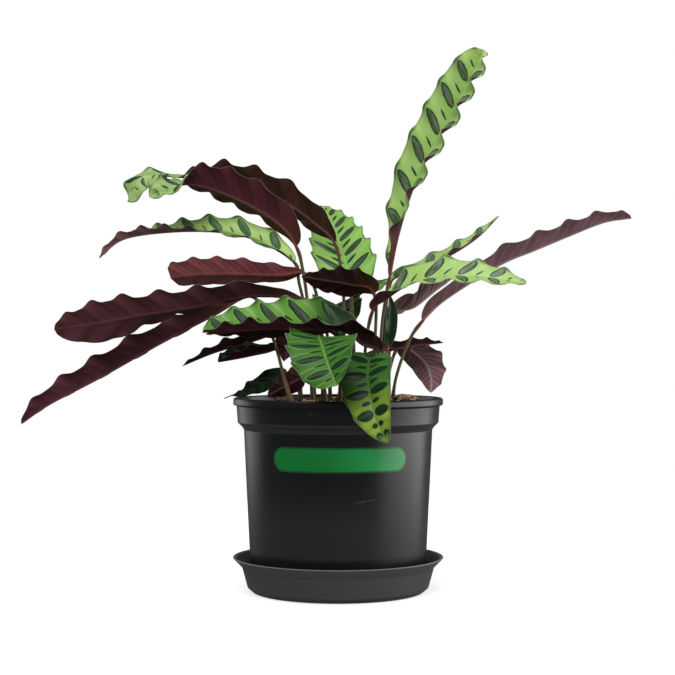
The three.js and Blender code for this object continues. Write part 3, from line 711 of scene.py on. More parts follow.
# Chips strewn over the soil, and more of them on the mound: each a jittered, flattened lump, turned
# at random, with its middle a little over the soil
def barkChips():
    draws = np.random.default_rng(bark["seed"])
    count = bark["count"] + bark["moundCount"]
    ball, faces = twentySided()
    distance = bark["reach"] * np.sqrt(draws.uniform(0, 1, count))
    bearing = draws.uniform(0, 2 * np.pi, count)
    x = distance * np.cos(bearing)
    y = distance * np.sin(bearing)
    moundX, moundY, spread, rise = soil["mound"]
    x[bark["count"]:] = moundX + spread * bark["moundShare"] * draws.normal(size=bark["moundCount"])
    y[bark["count"]:] = moundY + spread * draws.normal(size=bark["moundCount"])
    radius = np.hypot(x, y)
    pull = np.minimum(1, bark["reach"] / radius)
    x = x * pull
    y = y * pull
    spare = bark["largest"] - bark["smallest"]
    size = bark["smallest"] + spare * draws.uniform(0, 1, count) ** bark["smallPower"]
    size[bark["count"]:] = np.maximum(size[bark["count"]:], bark["moundSmallest"])
    size = np.minimum(size, bark["wallRadius"] - radius * pull)
    size = np.maximum(size, bark["smallest"])
    measures = [draws.uniform(*bark[key], count) for key in ("length", "width", "height")]
    shape = np.stack(measures, axis=-1) * size[:, None]
    jitter = draws.uniform(*bark["jitter"], (count, len(ball), 1))
    lumps = ball[None] * jitter * shape[:, None, :]
    turns = draws.normal(size=(count, 4)) * np.array(bark["turn"])
    lumps = np.einsum("nij,nkj->nki", spins(turns), lumps)
    height = soilHeight(x, y) + bark["lift"] * size
    height[bark["count"]:] += draws.uniform(0, bark["moundLift"], bark["moundCount"])
    points = (lumps + np.stack([x, y, height], axis=-1)[:, None, :]).reshape(-1, 3)
    allFaces = (faces[None] + len(ball) * np.arange(count)[:, None, None]).reshape(-1, 3)
    tone = np.repeat(draws.uniform(0, 1, count), len(ball))
    return makePiece("barkChips", points, [allFaces], {"tone": tone}, sharpAngle=25)


def soilFinish():
    finish = Finish("soilCrumb", roughness=0.95, specular=0.2)
    crumb = finish.place.noise(420, 4.0, 0.65)
    cloud = finish.place.noise(60, 2.0)
    colour = finish.blend(crumb.step(0.35, 0.7), (0.016, 0.010, 0.007), (0.085, 0.052, 0.032))
    colour = finish.blend(cloud.step(0.5, 0.75) * 0.5, colour, (0.12, 0.08, 0.05))
    finish.set("Base Color", colour)
    finish.bump(crumb, 0.8, 1.2 * mm)
    return finish.material


def barkFinish():
    finish = Finish("barkChip", roughness=0.85, specular=0.3)
    tone = finish.attribute("tone")
    grain = finish.place.noise(260, 4.0, 0.6)
    ramp = {"stops": [
        (0.0, (0.05, 0.026, 0.014)), (1.0, (0.62, 0.46, 0.32)),
        (0.35, (0.26, 0.15, 0.085)), (0.7, (0.55, 0.38, 0.24)),
    ]}
    colour = tone.node("ShaderNodeValToRGB", ramp, {0: tone})
    colour = finish.shade(colour, 0.65 + 0.7 * grain)
    finish.set("Base Color", colour)
    finish.bump(grain, 0.6, 0.6 * mm)
    return finish.material


soilPiece = soilBody()
soilPiece.data.materials.append(soilFinish())
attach(soilPiece, "root")
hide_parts("soil")

chipPiece = barkChips()
chipPiece.data.materials.append(barkFinish())
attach(chipPiece, "root")
print("soil and bark are in")


# Leaves

# Each leaf's places in order, in millimetres: the stalk from inside the soil up, then the midrib from
# the blade's base to its tip. A face direction says which way the upper side looks at that midrib
# place, and a short list keeps its last direction. Half is the widest half width and fold the angle
# of each half in degrees at base and tip. Waves is how many waves each margin has, wave their height,
# and phase where they start, in turns. Shape is the powers of the outline towards base and tip. Slant
# is how far the side veins lean towards the tip, and behind the half whose waves run half a wave
# late: 1 for the right half as seen from the base with the upper side up, and -1 for the left. Look
# names one of the skins further down, and a leaf without one is plain.
leaves = {
    "tall_right": {
        "stalk": [(33, 5, 140), (35, 6, 205), (38, 7, 232)],
        "spine": [(42, 8, 254), (50, 9, 292), (66, 8, 339), (89, 4, 382), (118, -4, 438)],
        "face": [
            (-0.9, 0.5, 0.2), (-0.8, -0.3, 0.3), (-0.55, -0.77, 0.35), (-0.5, -0.8, 0.35),
            (-0.35, -0.85, 0.3),
        ],
        "half": 22, "fold": (50, 44), "waves": 7.5, "wave": 5.8, "phase": 0.7,
        "shape": (0.75, 0.35), "behind": 1, "look": "young",
    },
    "arch_left_front": {
        "stalk": [(-18, -2, 140), (-24, -3, 225), (-29, -5, 262)],
        "spine": [
            (-34, -6, 279), (-46, -8, 295), (-68, -10, 310), (-97, -12, 323), (-120, -15, 328),
            (-134, -22, 324), (-150, -28, 317),
        ],
        "face": [
            (0.5, 0.65, 0.5), (0.3, 0.65, 0.7), (0.2, 0.62, 0.78), (0, 0.55, 0.82), (0, 0.3, 0.9),
            (-0.2, -0.65, 0.7), (-0.3, -0.85, 0.4),
        ],
        "half": 22, "fold": (33, 26), "waves": 6.3, "wave": 2.5, "phase": 0.1, "shape": (0.5, 0.5),
        "look": "pale",
    },
    "arch_left_rear": {
        "stalk": [(2, 6, 140), (5, 10, 215), (3, 12, 255)],
        "spine": [
            (-3, 14, 283), (-19, 18, 299), (-39, 22, 314), (-65, 26, 326), (-94, 28, 334),
            (-123, 28, 339), (-148, 26, 341), (-165, 20, 335), (-170, 14, 316),
        ],
        "face": [
            (0.5, 0.6, 0.5), (0.4, 0.65, 0.6), (0.3, 0.7, 0.6), (0.2, 0.7, 0.65), (0.1, 0.68, 0.7),
            (0, 0.15, 1), (-0.1, -0.35, 0.9), (-0.45, -0.8, 0.5), (-0.6, -0.8, 0),
        ],
        "half": 21, "fold": (28, -20), "waves": 8, "wave": 3.5, "phase": 0.15,
        "shape": (0.5, 0.45), "look": "umber",
    },
    "thin_left": {
        "stalk": [(-20, 8, 140), (-25, 11, 215), (-32, 13, 250)],
        "spine": [
            (-36, 14, 267), (-63, 20, 284), (-94, 24, 292), (-135, 28, 293), (-177, 30, 287),
            (-198, 28, 271),
        ],
        "face": [
            (0.4, -0.55, 0.8), (0.3, -0.6, 0.8), (0.1, -0.55, 0.85), (0, -0.22, 0.95),
            (-0.2, 0.1, 0.9), (-0.6, 0.3, 0.7),
        ],
        "half": 16.5, "fold": (32, 28), "waves": 7.7, "wave": 2.5, "phase": 0.4,
        "shape": (0.45, 0.6), "look": "slim",
    },
    "red_left": {
        "stalk": [(-12, 8, 140), (-14, 5, 215), (-20, 3, 248)],
        "spine": [
            (-29, 2, 258), (-47, 6, 256), (-80, 12, 257), (-106, 16, 257), (-124, 19, 256),
            (-138, 22, 254),
        ],
        "face": [
            (0, 0.6, 0.8), (0, 0.6, 0.8), (0, 0.6, 0.8), (0, 0.6, 0.8), (-0.1, 0.6, 0.8),
            (-0.3, 0.6, 0.7),
        ],
        "half": 18, "fold": (16, 12), "waves": 5.5, "wave": 1.1, "phase": 0, "shape": (0.45, 0.16),
        "look": "wine",
    },
    "broad_left": {
        "stalk": [(-6, -6, 140), (-8, -6, 200), (-14, -7, 228)],
        "spine": [
            (-27, -8, 236), (-70, -22, 238), (-110, -32, 230), (-148, -40, 224), (-187, -46, 217),
            (-222, -50, 212),
        ],
        "face": [
            (0, 0.5, 0.85), (-0.1, 0.45, 0.85), (-0.2, 0.42, 0.82), (-0.1, 0.5, 0.82), (0, 0.76, 0.62),
            (0, 0.75, 0.65),
        ],
        "half": 22.5, "fold": (44, -6), "waves": 7, "wave": 2.5, "phase": 0.3,
        "shape": (0.85, 0.45), "look": "deep",
    },
    "long_low_left": {
        "stalk": [(-31, -57, 140), (-41, -55, 170), (-52, -8, 203)],
        "spine": [
            (-69, 0, 238), (-103, 8, 222.5), (-146, 12, 200), (-195, 10, 172), (-235, 4, 150.5),
            (-257, 0, 135),
        ],
        "face": [
            (-0.4, 0.3, 0.9), (-0.35, 0.42, 0.75), (-0.35, 0.45, 0.75), (-0.35, 0.45, 0.75),
            (-0.35, 0.45, 0.75), (-0.5, 0.4, 0.7),
        ],
        "half": 18.5, "fold": (38, 44), "waves": 6.2, "wave": 3.8, "phase": 0.65,
        "shape": (0.7, 0.5), "behind": 1,
    },
    "short_low_left": {
        "stalk": [(-30, 18, 140), (-31, 16, 180), (-30, 13, 203)],
        "spine": [(-33, 11, 215), (-68, 15, 203), (-101, 12, 193), (-127, 6, 182)],
        "face": [(-0.3, 0.15, 0.9), (-0.3, 0.15, 0.9), (-0.3, 0.15, 0.9), (-0.3, 0.2, 0.9)],
        "half": 15, "fold": (30, 26), "waves": 4.5, "wave": 2, "phase": 0.4, "look": "shaded",
    },
    "green_front_left": {
        "stalk": [(30, -14, 140), (33, -12, 170)],
        "spine": [
            (33, -12, 193), (19, -20, 200), (5, -30, 210), (-22, -42, 213), (-53, -52, 212),
            (-84, -58, 211), (-105, -62, 209),
        ],
        "face": [
            (0.1, 0.35, 0.85), (0.05, 0.05, 0.9), (0, -0.42, 0.88), (0, -0.54, 0.84), (0, -0.44, 0.88),
            (0, -0.38, 0.9), (-0.2, -0.5, 0.8),
        ],
        "half": 25, "fold": (46, 50), "waves": 6, "wave": 3, "phase": 0.7, "shape": (0.5, 0.5),
        "look": "front",
    },
    "under_front_left": {
        "stalk": [(2, -12, 140), (2, -12, 180), (1, -13, 200)],
        "spine": [(-6, -16, 210), (-30, -24, 212), (-60, -32, 212), (-104, -40, 208)],
        "face": [(0, 0.75, 0.6), (0, 0.7, 0.6), (0, 0.6, 0.7), (0, 0.5, 0.8)],
        "half": 13, "fold": (12, 12), "waves": 4.5, "wave": 2, "phase": 0, "look": "shaded",
    },
    "hang_front_left": {
        "stalk": [(-8, -20, 140), (-12, -22, 175), (-15, -27, 197)],
        "spine": [(-16, -36, 204), (-15, -64, 206), (-12, -95, 198), (-7, -118, 184), (-1, -132, 170)],
        "face": [
            (0.15, -0.2, 0.95), (0.15, -0.32, 0.92), (-0.08, -0.42, 0.85), (-0.38, -0.52, 0.7),
            (-0.55, -0.6, 0.55),
        ],
        "half": 27, "fold": (0, 24), "waves": 6, "wave": 1.8, "phase": 0, "shape": (0.5, 0.38),
        "slant": 0.15, "look": "oldShaded",
    },
    "hang_front": {
        "stalk": [(20, -10, 140), (23, -16, 173)],
        "spine": [
            (25, -24, 190), (24, -46, 185), (23, -68, 175), (25, -90, 159), (29, -104, 143),
            (37, -112, 127),
        ],
        "face": [
            (0.16, -0.3, 0.9), (0, -0.4, 0.85), (-0.3, -0.5, 0.8), (-0.42, -0.68, 0.6),
            (-0.38, -0.88, 0.4), (-0.3, -0.9, 0.3),
        ],
        "half": 22, "fold": (22, 20), "waves": 5, "wave": 2, "phase": 0.3, "shape": (0.55, 0.7),
        "slant": 0.2, "look": "ripe",
    },
    "upright_back": {
        "stalk": [(10, 14, 140), (12, 13, 190)],
        "spine": [(11, 15, 239), (7, 45, 264), (0, 80, 289), (-7, 110, 310), (-15, 132, 323)],
        "face": [(0, -0.7, 0.6), (0, -0.7, 0.7), (0, -0.65, 0.7), (0, -0.6, 0.8), (0, -0.5, 0.85)],
        "half": 26, "fold": (6, 6), "waves": 6, "wave": 2.4, "phase": 0, "slant": 1.15,
        "behind": 1, "look": "upright",
    },
    "centre_dark": {
        "stalk": [(27, -4, 140), (30, 0, 200)],
        "spine": [(29, -2, 241), (10, -10, 248), (-10, -20, 251), (-29, -28, 254)],
        "face": [(0, 0.7, 0.7)],
        "half": 16, "fold": (10, 6), "waves": 4, "wave": 2, "phase": 0, "look": "shaded",
    },
    "back_right_small": {
        "stalk": [(14, 22, 140), (13, 23, 200)],
        "spine": [(11, 25, 238), (23, 50, 249), (34, 75, 254), (44, 98, 252)],
        "face": [(0.3, 0, 0.9), (0.3, 0, 0.9), (0.2, 0.1, 0.9), (0, 0.2, 0.9)],
        "half": 16, "fold": (16, 10), "waves": 4, "wave": 3, "phase": 0,
    },
    "thin_right": {
        "stalk": [(35, 15, 140), (38, 15, 210)],
        "spine": [
            (43, 16, 250), (60, 26, 258), (78, 33, 266), (99, 38, 277), (118, 41, 290), (135, 44, 307),
        ],
        "face": [(-0.3, -0.2, 0.85), (-0.3, -0.3, 0.85), (-0.3, -0.25, 0.85)],
        "half": 12, "fold": (32, 32), "waves": 4.3, "wave": 1.8, "phase": 0.7, "behind": 1,
        "look": "slim",
    },
    "green_right": {
        "stalk": [(20, 3, 140), (22, -2, 195)],
        "spine": [
            (28, -8, 227), (38, -14, 236), (51, -22, 245), (66, -32, 251), (88, -44, 254),
            (118, -58, 252), (145, -68, 247),
        ],
        "face": [
            (-0.5, 0.2, 0.6), (-0.5, 0, 0.7), (-0.4, -0.3, 0.8), (-0.2, -0.55, 0.8), (0, -0.6, 0.8),
            (0.1, -0.6, 0.8), (0.3, -0.6, 0.7),
        ],
        "half": 18.5, "fold": (34, 10), "waves": 4.8, "wave": 2.5, "phase": 0.3,
        "shape": (0.5, 0.6), "behind": 1, "look": "young",
    },
    "long_right": {
        "stalk": [(43, 2, 140), (47, 2, 172), (58, 3, 203)],
        "spine": [
            (69, 4, 219), (83, 8, 233), (105, 16, 248), (137, 26, 267), (164, 34, 278), (193, 42, 290),
            (224, 50, 302), (248, 56, 306),
        ],
        "face": [
            (-0.5, 0.5, 0.7), (-0.4, 0.45, 0.75), (-0.35, 0.35, 0.85), (-0.35, 0.28, 0.85),
            (-0.35, 0.25, 0.85), (-0.35, 0.25, 0.85), (-0.35, 0.25, 0.85), (-0.2, 0.3, 0.8),
        ],
        "half": 18, "fold": (34, 32), "waves": 6.6, "wave": 2.2, "phase": 0.95,
        "shape": (0.5, 0.45), "look": "mauveSheen",
    },
    "purple_right": {
        "stalk": [(42, 9, 140), (42, 16.5, 192)],
        "spine": [(45, 17, 223), (63, 25, 230.5), (81, 34, 244), (99, 43, 257)],
        "face": [(-0.3, 0.4, 0.8)],
        "half": 17, "fold": (26, 22), "waves": 4, "wave": 2, "phase": 0, "look": "lilacLit",
    },
    "drop_right": {
        "stalk": [(38, 22, 140), (43, 24, 180)],
        "spine": [(52, 30, 200), (63, 40, 193), (73, 46, 184), (78, 49, 172), (78, 49, 159)],
        "face": [(0.5, 0.6, 0.6), (0.5, 0.7, 0.5), (0.5, 0.8, 0.4), (0.4, 0.9, 0.1), (0.3, 0.9, 0)],
        "half": 18, "fold": (8, 8), "waves": 4, "wave": 1.5, "phase": 0, "shape": (0.55, 0.8),
        "look": "lilacLit",
    },
    "low_right": {
        "stalk": [(27, 10, 140), (30, 5, 180)],
        "spine": [(36, 2, 195), (51, 8.5, 196.5), (67, 15, 199), (87, 22, 201)],
        "face": [(0, 0.6, 0.8), (0, 0.6, 0.8), (0, 0.5, 0.8), (0, 0.2, 0.9)],
        "half": 9, "fold": (20, 20), "waves": 3.5, "wave": 1.4, "phase": 0, "look": "shaded",
    },
    "low_left_dark": {
        "stalk": [(-27, 6, 140), (-34, 8, 175)],
        "spine": [(-42, 8, 196), (-60, 0, 193), (-78, -10, 189), (-96, -18, 185.5)],
        "face": [(-0.2, -0.15, 0.95), (-0.2, -0.15, 0.95), (-0.2, -0.15, 0.95), (-0.2, -0.2, 0.95)],
        "half": 15.5, "fold": (45, 40), "waves": 3.5, "wave": 1.6, "phase": 0.2,
        "shape": (0.9, 0.6), "look": "deepestShade",
    },
    "rim_left": {
        "stalk": [(-27, -5, 140), (-33, 0, 165)],
        "spine": [
            (-42, 6, 176), (-53, 2, 172), (-65, -4, 165.5), (-76, -9, 160.5), (-86, -10, 158.5),
            (-92, -10, 156),
        ],
        "face": [
            (-0.4, -0.6, 0.7), (-0.4, -0.6, 0.7), (-0.4, -0.55, 0.7), (-0.3, -0.4, 0.85),
            (-0.1, -0.2, 0.95), (0.2, -0.2, 0.9),
        ],
        "half": 13.5, "fold": (6, 0), "waves": 3, "wave": 1.2, "phase": 0, "shape": (0.6, 1.2),
        "look": "deepestShade",
    },
    "soil_left": {
        "stalk": [(-18, -26, 140), (-20.5, -28, 164)],
        "spine": [(-24, -30, 175), (-36, -34, 170), (-48, -38, 163.5), (-56, -40, 159)],
        "face": [(0, 0.8, 0.6), (0, 0.8, 0.6), (0, 0.7, 0.7)],
        "half": 12, "fold": (8, 6), "waves": 2.5, "wave": 1.2, "phase": 0.5, "look": "deepestShade",
    },
    "inner_right": {
        "stalk": [(36, -5, 140), (37, -6, 170)],
        "spine": [(40, -8, 198), (42, -10, 211), (43, -11, 225), (42, -9, 239)],
        "face": [(0.2, -0.9, 0.2)],
        "half": 5.5, "fold": (30, 30), "waves": 2, "wave": 1, "phase": 0, "look": "shaded",
    },
    "back_middle": {
        "stalk": [(0, 20, 140), (2, 24, 180)],
        "spine": [(2, 34, 205), (0, 64, 226), (-2, 96, 234), (-4, 128, 227), (-4, 152, 208)],
        "face": [(0, -0.5, 0.85), (0, -0.4, 0.9), (0, 0, 1), (0, 0.35, 0.9), (0, 0.6, 0.75)],
        "half": 22, "fold": (26, 18), "waves": 6, "wave": 3, "phase": 0, "look": "oldShaded",
    },
    "back_low": {
        "stalk": [(8, 32, 140), (9, 36, 158)],
        "spine": [(12, 46, 172), (16, 72, 186), (19, 98, 188), (20, 122, 178), (19, 138, 162)],
        "face": [(0, -0.5, 0.85), (0, -0.3, 0.9), (0, 0.1, 1), (0, 0.4, 0.9), (0, 0.7, 0.7)],
        "half": 18, "fold": (24, 16), "waves": 5, "wave": 2.5, "phase": 0.4, "look": "oldShaded",
    },
    "back_left": {
        "stalk": [(-10, 24, 140), (-12, 28, 166)],
        "spine": [(-15, 36, 186), (-27, 60, 202), (-37, 86, 207), (-44, 112, 199), (-48, 132, 184)],
        "face": [
            (-0.1, -0.5, 0.85), (-0.1, -0.3, 0.9), (-0.1, 0.1, 1), (-0.1, 0.4, 0.9), (-0.1, 0.6, 0.75),
        ],
        "half": 17, "fold": (26, 18), "waves": 5, "wave": 2.5, "phase": 0.1,
    },
}

blade = {
    "rowsPerWave": 20,
    "endRows": 12,
    "halfColumns": 16,
    "columnCrowding": 1.35,
    "shape": (0.5, 0.75),
    "thickness": 0.42 * mm,
    "marginThickness": 0.2 * mm,
    "thinningPower": 4,            # how late the blade thins towards the margin
    "neckHalf": 1.1 * mm,
    "tipHalf": 0.5 * mm,
    "veinSlant": 0.75,
    "crestSharpness": 0.25,
    "waveCrowding": 1.15,
    "wavePower": 1.7,
    "waveAtEnds": 0.15,            # share of the wave's height that is left where the blade is narrow
    "scallop": 0.07,
    "foldAtMidrib": 1.15,
    "foldAtMargin": 0.85,
    "pleatsPerWave": 3,
    "pleatHeight": 0.2 * mm,
    "pleatFullWidth": 10 * mm,
    "grooveDepth": 0.3 * mm,
    "grooveHalf": 0.9 * mm,
    "ridgeHeight": 1.0 * mm,
    "ridgeHalf": 1.3 * mm,
    "taperPower": 0.7,             # how the midrib fades towards the tip
}

stalk = {
    "stations": 44,
    "sides": 18,
    "footRadius": 2.1 * mm,
    "middleRadius": 1.25 * mm,
    "headRadius": 1.35 * mm,
    "sheathShare": 0.3,      # how far up the wider sheath reaches
    "kneeSwell": 0.3 * mm,   # the swollen joint just under the blade
    "kneeLength": 7 * mm,
    "intoBlade": 5 * mm,
    "footBrown": (0.16, 0.105, 0.042),
    "olive": (0.11, 0.095, 0.04),
    "streakBrown": (0.045, 0.034, 0.016),
    "headRed": (0.13, 0.045, 0.025),
}


# Shares along a stretch of the leaf's whole curve at equal arc lengths, and that stretch's length
def evenShares(points, start, end, shares):
    fine = np.linspace(start, end, 801)
    places = throughPoints(points, fine)
    run = np.concatenate([[0], np.cumsum(np.linalg.norm(np.diff(places, axis=0), axis=1))])
    return np.interp(np.asarray(shares) * run[-1], run, fine), run[-1]


# Unit tangents of the curve through points, from places just before and after each share
def tangents(points, share):
    ahead = throughPoints(points, np.minimum(share + 1e-4, 1))
    behind = throughPoints(points, np.maximum(share - 1e-4, 0))
    return unit(ahead - behind)


# Half width along the blade: a power of the way from the base times a power of the way to the tip
def widthShare(t, shape):
    rise, fall = shape
    peak = rise / (rise + fall)
    return t ** rise * (1 - t) ** fall / (peak ** rise * (1 - peak) ** fall)


# The blade as a closed sheet. A point lies across the folded half at u of the half width, is lifted
# by a wave whose crests follow the slanted side veins and grow towards the margin, and by the small
# pleats between the veins. The upper side has a groove over the midrib and the lower side a ridge.
def bladePiece(name, leaf):
    whole = np.array(leaf["stalk"] + leaf["spine"]) * mm
    base = len(leaf["stalk"]) / (len(whole) - 1)
    rows = int(round(leaf["waves"] * blade["rowsPerWave"])) + blade["endRows"]
    t = np.linspace(0, 1, rows)
    at, length = evenShares(whole, base, 1, t)
    centre = throughPoints(whole, at)
    along = tangents(whole, at)
    directions = list(leaf["face"]) + [leaf["face"][-1]] * (len(leaf["spine"]) - len(leaf["face"]))
    upper = throughPoints(directions, (at - base) / (1 - base))
    upper = unit(upper - (upper * along).sum(1, keepdims=True) * along)
    right = np.cross(along, upper)

    halfShares = np.linspace(0, 1, blade["halfColumns"] + 1) ** blade["columnCrowding"]
    u = np.concatenate([-halfShares[:0:-1], halfShares])[None, :]
    a = np.abs(u)
    hand = np.sign(u)
    half = leaf["half"] * mm
    least = blade["neckHalf"] + (blade["tipHalf"] - blade["neckHalf"]) * t
    width = np.maximum(half * widthShare(t, leaf.get("shape", blade["shape"])), least)[:, None]
    tall = t[:, None]
    easing = blade["foldAtMidrib"] + (blade["foldAtMargin"] - blade["foldAtMidrib"]) * a
    fold = np.radians(leaf["fold"][0] + (leaf["fold"][1] - leaf["fold"][0]) * tall) * easing
    root = np.clip(tall - leaf.get("slant", blade["veinSlant"]) * width * a / length, 0, 1)
    turns = leaf["waves"] * root ** blade["waveCrowding"] + leaf["phase"]
    angle = 2 * np.pi * (turns + np.where(hand == leaf.get("behind", -1), 0.5, 0.0))
    sharpness = blade["crestSharpness"]
    swing = (np.cos(angle) + sharpness * np.cos(2 * angle)) / (1 + sharpness)
    growth = np.minimum(1, width / half + blade["waveAtEnds"])
    lift = leaf["wave"] * mm * growth * a ** blade["wavePower"] * swing
    pleat = np.cos(2 * np.pi * blade["pleatsPerWave"] * turns)
    pleat = pleat * np.sin(np.pi * np.minimum(a, 0.98)) ** 0.7
    lift = lift + blade["pleatHeight"] * np.minimum(1, width / blade["pleatFullWidth"]) * pleat
    reach = width * a * (1 + blade["scallop"] * a * a * swing)
    out = hand * (reach * np.cos(fold) - lift * np.sin(fold))
    up = reach * np.sin(fold) + lift * np.cos(fold)
    middle = centre[:, None] + out[..., None] * right[:, None] + up[..., None] * upper[:, None]

    normal = unit(np.cross(np.gradient(middle, axis=1), np.gradient(middle, axis=0)))
    thinning = (blade["marginThickness"] - blade["thickness"]) * a ** blade["thinningPower"]
    thickness = blade["thickness"] + thinning
    fromMidrib = width * a
    taper = (1 - tall) ** blade["taperPower"]
    groove = blade["grooveDepth"] * taper * np.exp(-(fromMidrib / blade["grooveHalf"]) ** 2)
    ridge = blade["ridgeHeight"] * taper * np.exp(-(fromMidrib / blade["ridgeHalf"]) ** 2)
    above = middle + normal * (thickness / 2 - groove)[..., None]
    below = middle - normal * (thickness / 2 + ridge)[..., None]
    columns = u.shape[1]
    points = np.concatenate([above.reshape(-1, 3), below.reshape(-1, 3)])
    filled = np.ones((rows, columns))

    def twice(values):
        flat = (filled * values).ravel()
        return np.concatenate([flat, flat])

    attributes = {
        "veinPhase": twice(turns),
        "across": twice(u),
        "along": twice(tall),
        "fromMidrib": twice(fromMidrib / mm),
        "fromMargin": twice(width * (1 - a) / mm),
        "topSide": np.concatenate([filled.ravel(), 0 * filled.ravel()]),
    }
    faceGroups = [sheetFaces(rows, columns)]
    return makePiece("leafBlade_" + name, points, faceGroups, attributes, sharpAngle=60)


# The stalk as a tube of round rings along the curve: a wide sheath at the foot, a slim middle, a
# swollen knee under the blade, and a last stretch that runs into the midrib
def stalkPiece(name, leaf):
    whole = np.array(leaf["stalk"] + leaf["spine"]) * mm
    base = len(leaf["stalk"]) / (len(whole) - 1)
    share = np.linspace(0, 1, stalk["stations"])
    bladeLength = evenShares(whole, base, 1, [0, 1])[1]
    end = evenShares(whole, base, 1, [min(0.4, stalk["intoBlade"] / bladeLength)])[0][0]
    at, length = evenShares(whole, 0, end, share)
    centre = throughPoints(whole, at)
    along = tangents(whole, at)
    lean = np.abs(along[-1])
    guide = np.array([0.0, 1.0, 0.0]) if lean[0] > lean[1] else np.array([1.0, 0.0, 0.0])
    side = unit(np.cross(along, guide))
    other = np.cross(along, side)
    toHead = (1 - share) * length - stalk["intoBlade"]
    sheath = np.clip(1 - share / stalk["sheathShare"], 0, 1) ** 0.8
    radius = stalk["middleRadius"] + (stalk["headRadius"] - stalk["middleRadius"]) * share
    radius = radius + (stalk["footRadius"] - stalk["middleRadius"]) * sheath
    fromKnee = (toHead - stalk["kneeLength"]) / (0.6 * stalk["kneeLength"])
    radius = radius + stalk["kneeSwell"] * np.exp(-fromKnee ** 2)
    radius = radius * np.clip((toHead + stalk["intoBlade"]) / stalk["intoBlade"], 0.25, 1) ** 0.6
    angle = 2 * np.pi * np.arange(stalk["sides"]) / stalk["sides"]
    rings = centre[:, None] + radius[:, None, None] * (
        np.cos(angle)[:, None] * side[:, None] + np.sin(angle)[:, None] * other[:, None])
    points, faceGroups = ringBody(rings, centre[0], centre[-1])
    upwards = np.concatenate([np.repeat(share, stalk["sides"]), [0.0, 1.0]])
    headward = np.concatenate([np.repeat(toHead / mm, stalk["sides"]), [length / mm, 0.0]])
    attributes = {"upwards": upwards, "toHead": headward}
    return makePiece("leafStalk_" + name, points, faceGroups, attributes, sharpAngle=60)


leafSkin = {
    "limeDeep": (0.09, 0.27, 0.03),
    "limeLight": (0.24, 0.47, 0.07),
    # a painted glint, grey along the large ovals' middles
    "glintStrength": 0.3,          # how strongly the large ovals shine grey along their middles
    "spotGreen": (0.006, 0.027, 0.011),
    "spotEdge": (0.022, 0.085, 0.028),
    "glintGrey": (0.13, 0.15, 0.105),
    "marginGreen": (0.015, 0.07, 0.025),
    "edgePale": (0.36, 0.42, 0.28),
    "midribPale": (0.3, 0.5, 0.15),
    "maroon": (0.15, 0.045, 0.056),
    "maroonDark": (0.055, 0.0165, 0.0215),
    "maroonVein": (0.24, 0.09, 0.095),
    "rust": (0.105, 0.032, 0.016),
    "ripe": 0.0,            # how yellow the lime is towards the tip
    # painted shade near the blade's base
    "baseShade": 0.0,            # how dark the blade is near its base
    "gloss": 1.0,           # how glossy the upper side is
    "veinShow": 0.07,       # how clearly the side veins show on the underside
    "largeOval": 0.165,     # half widths of the large and small ovals, in turns
    "smallOval": 0.09,
}

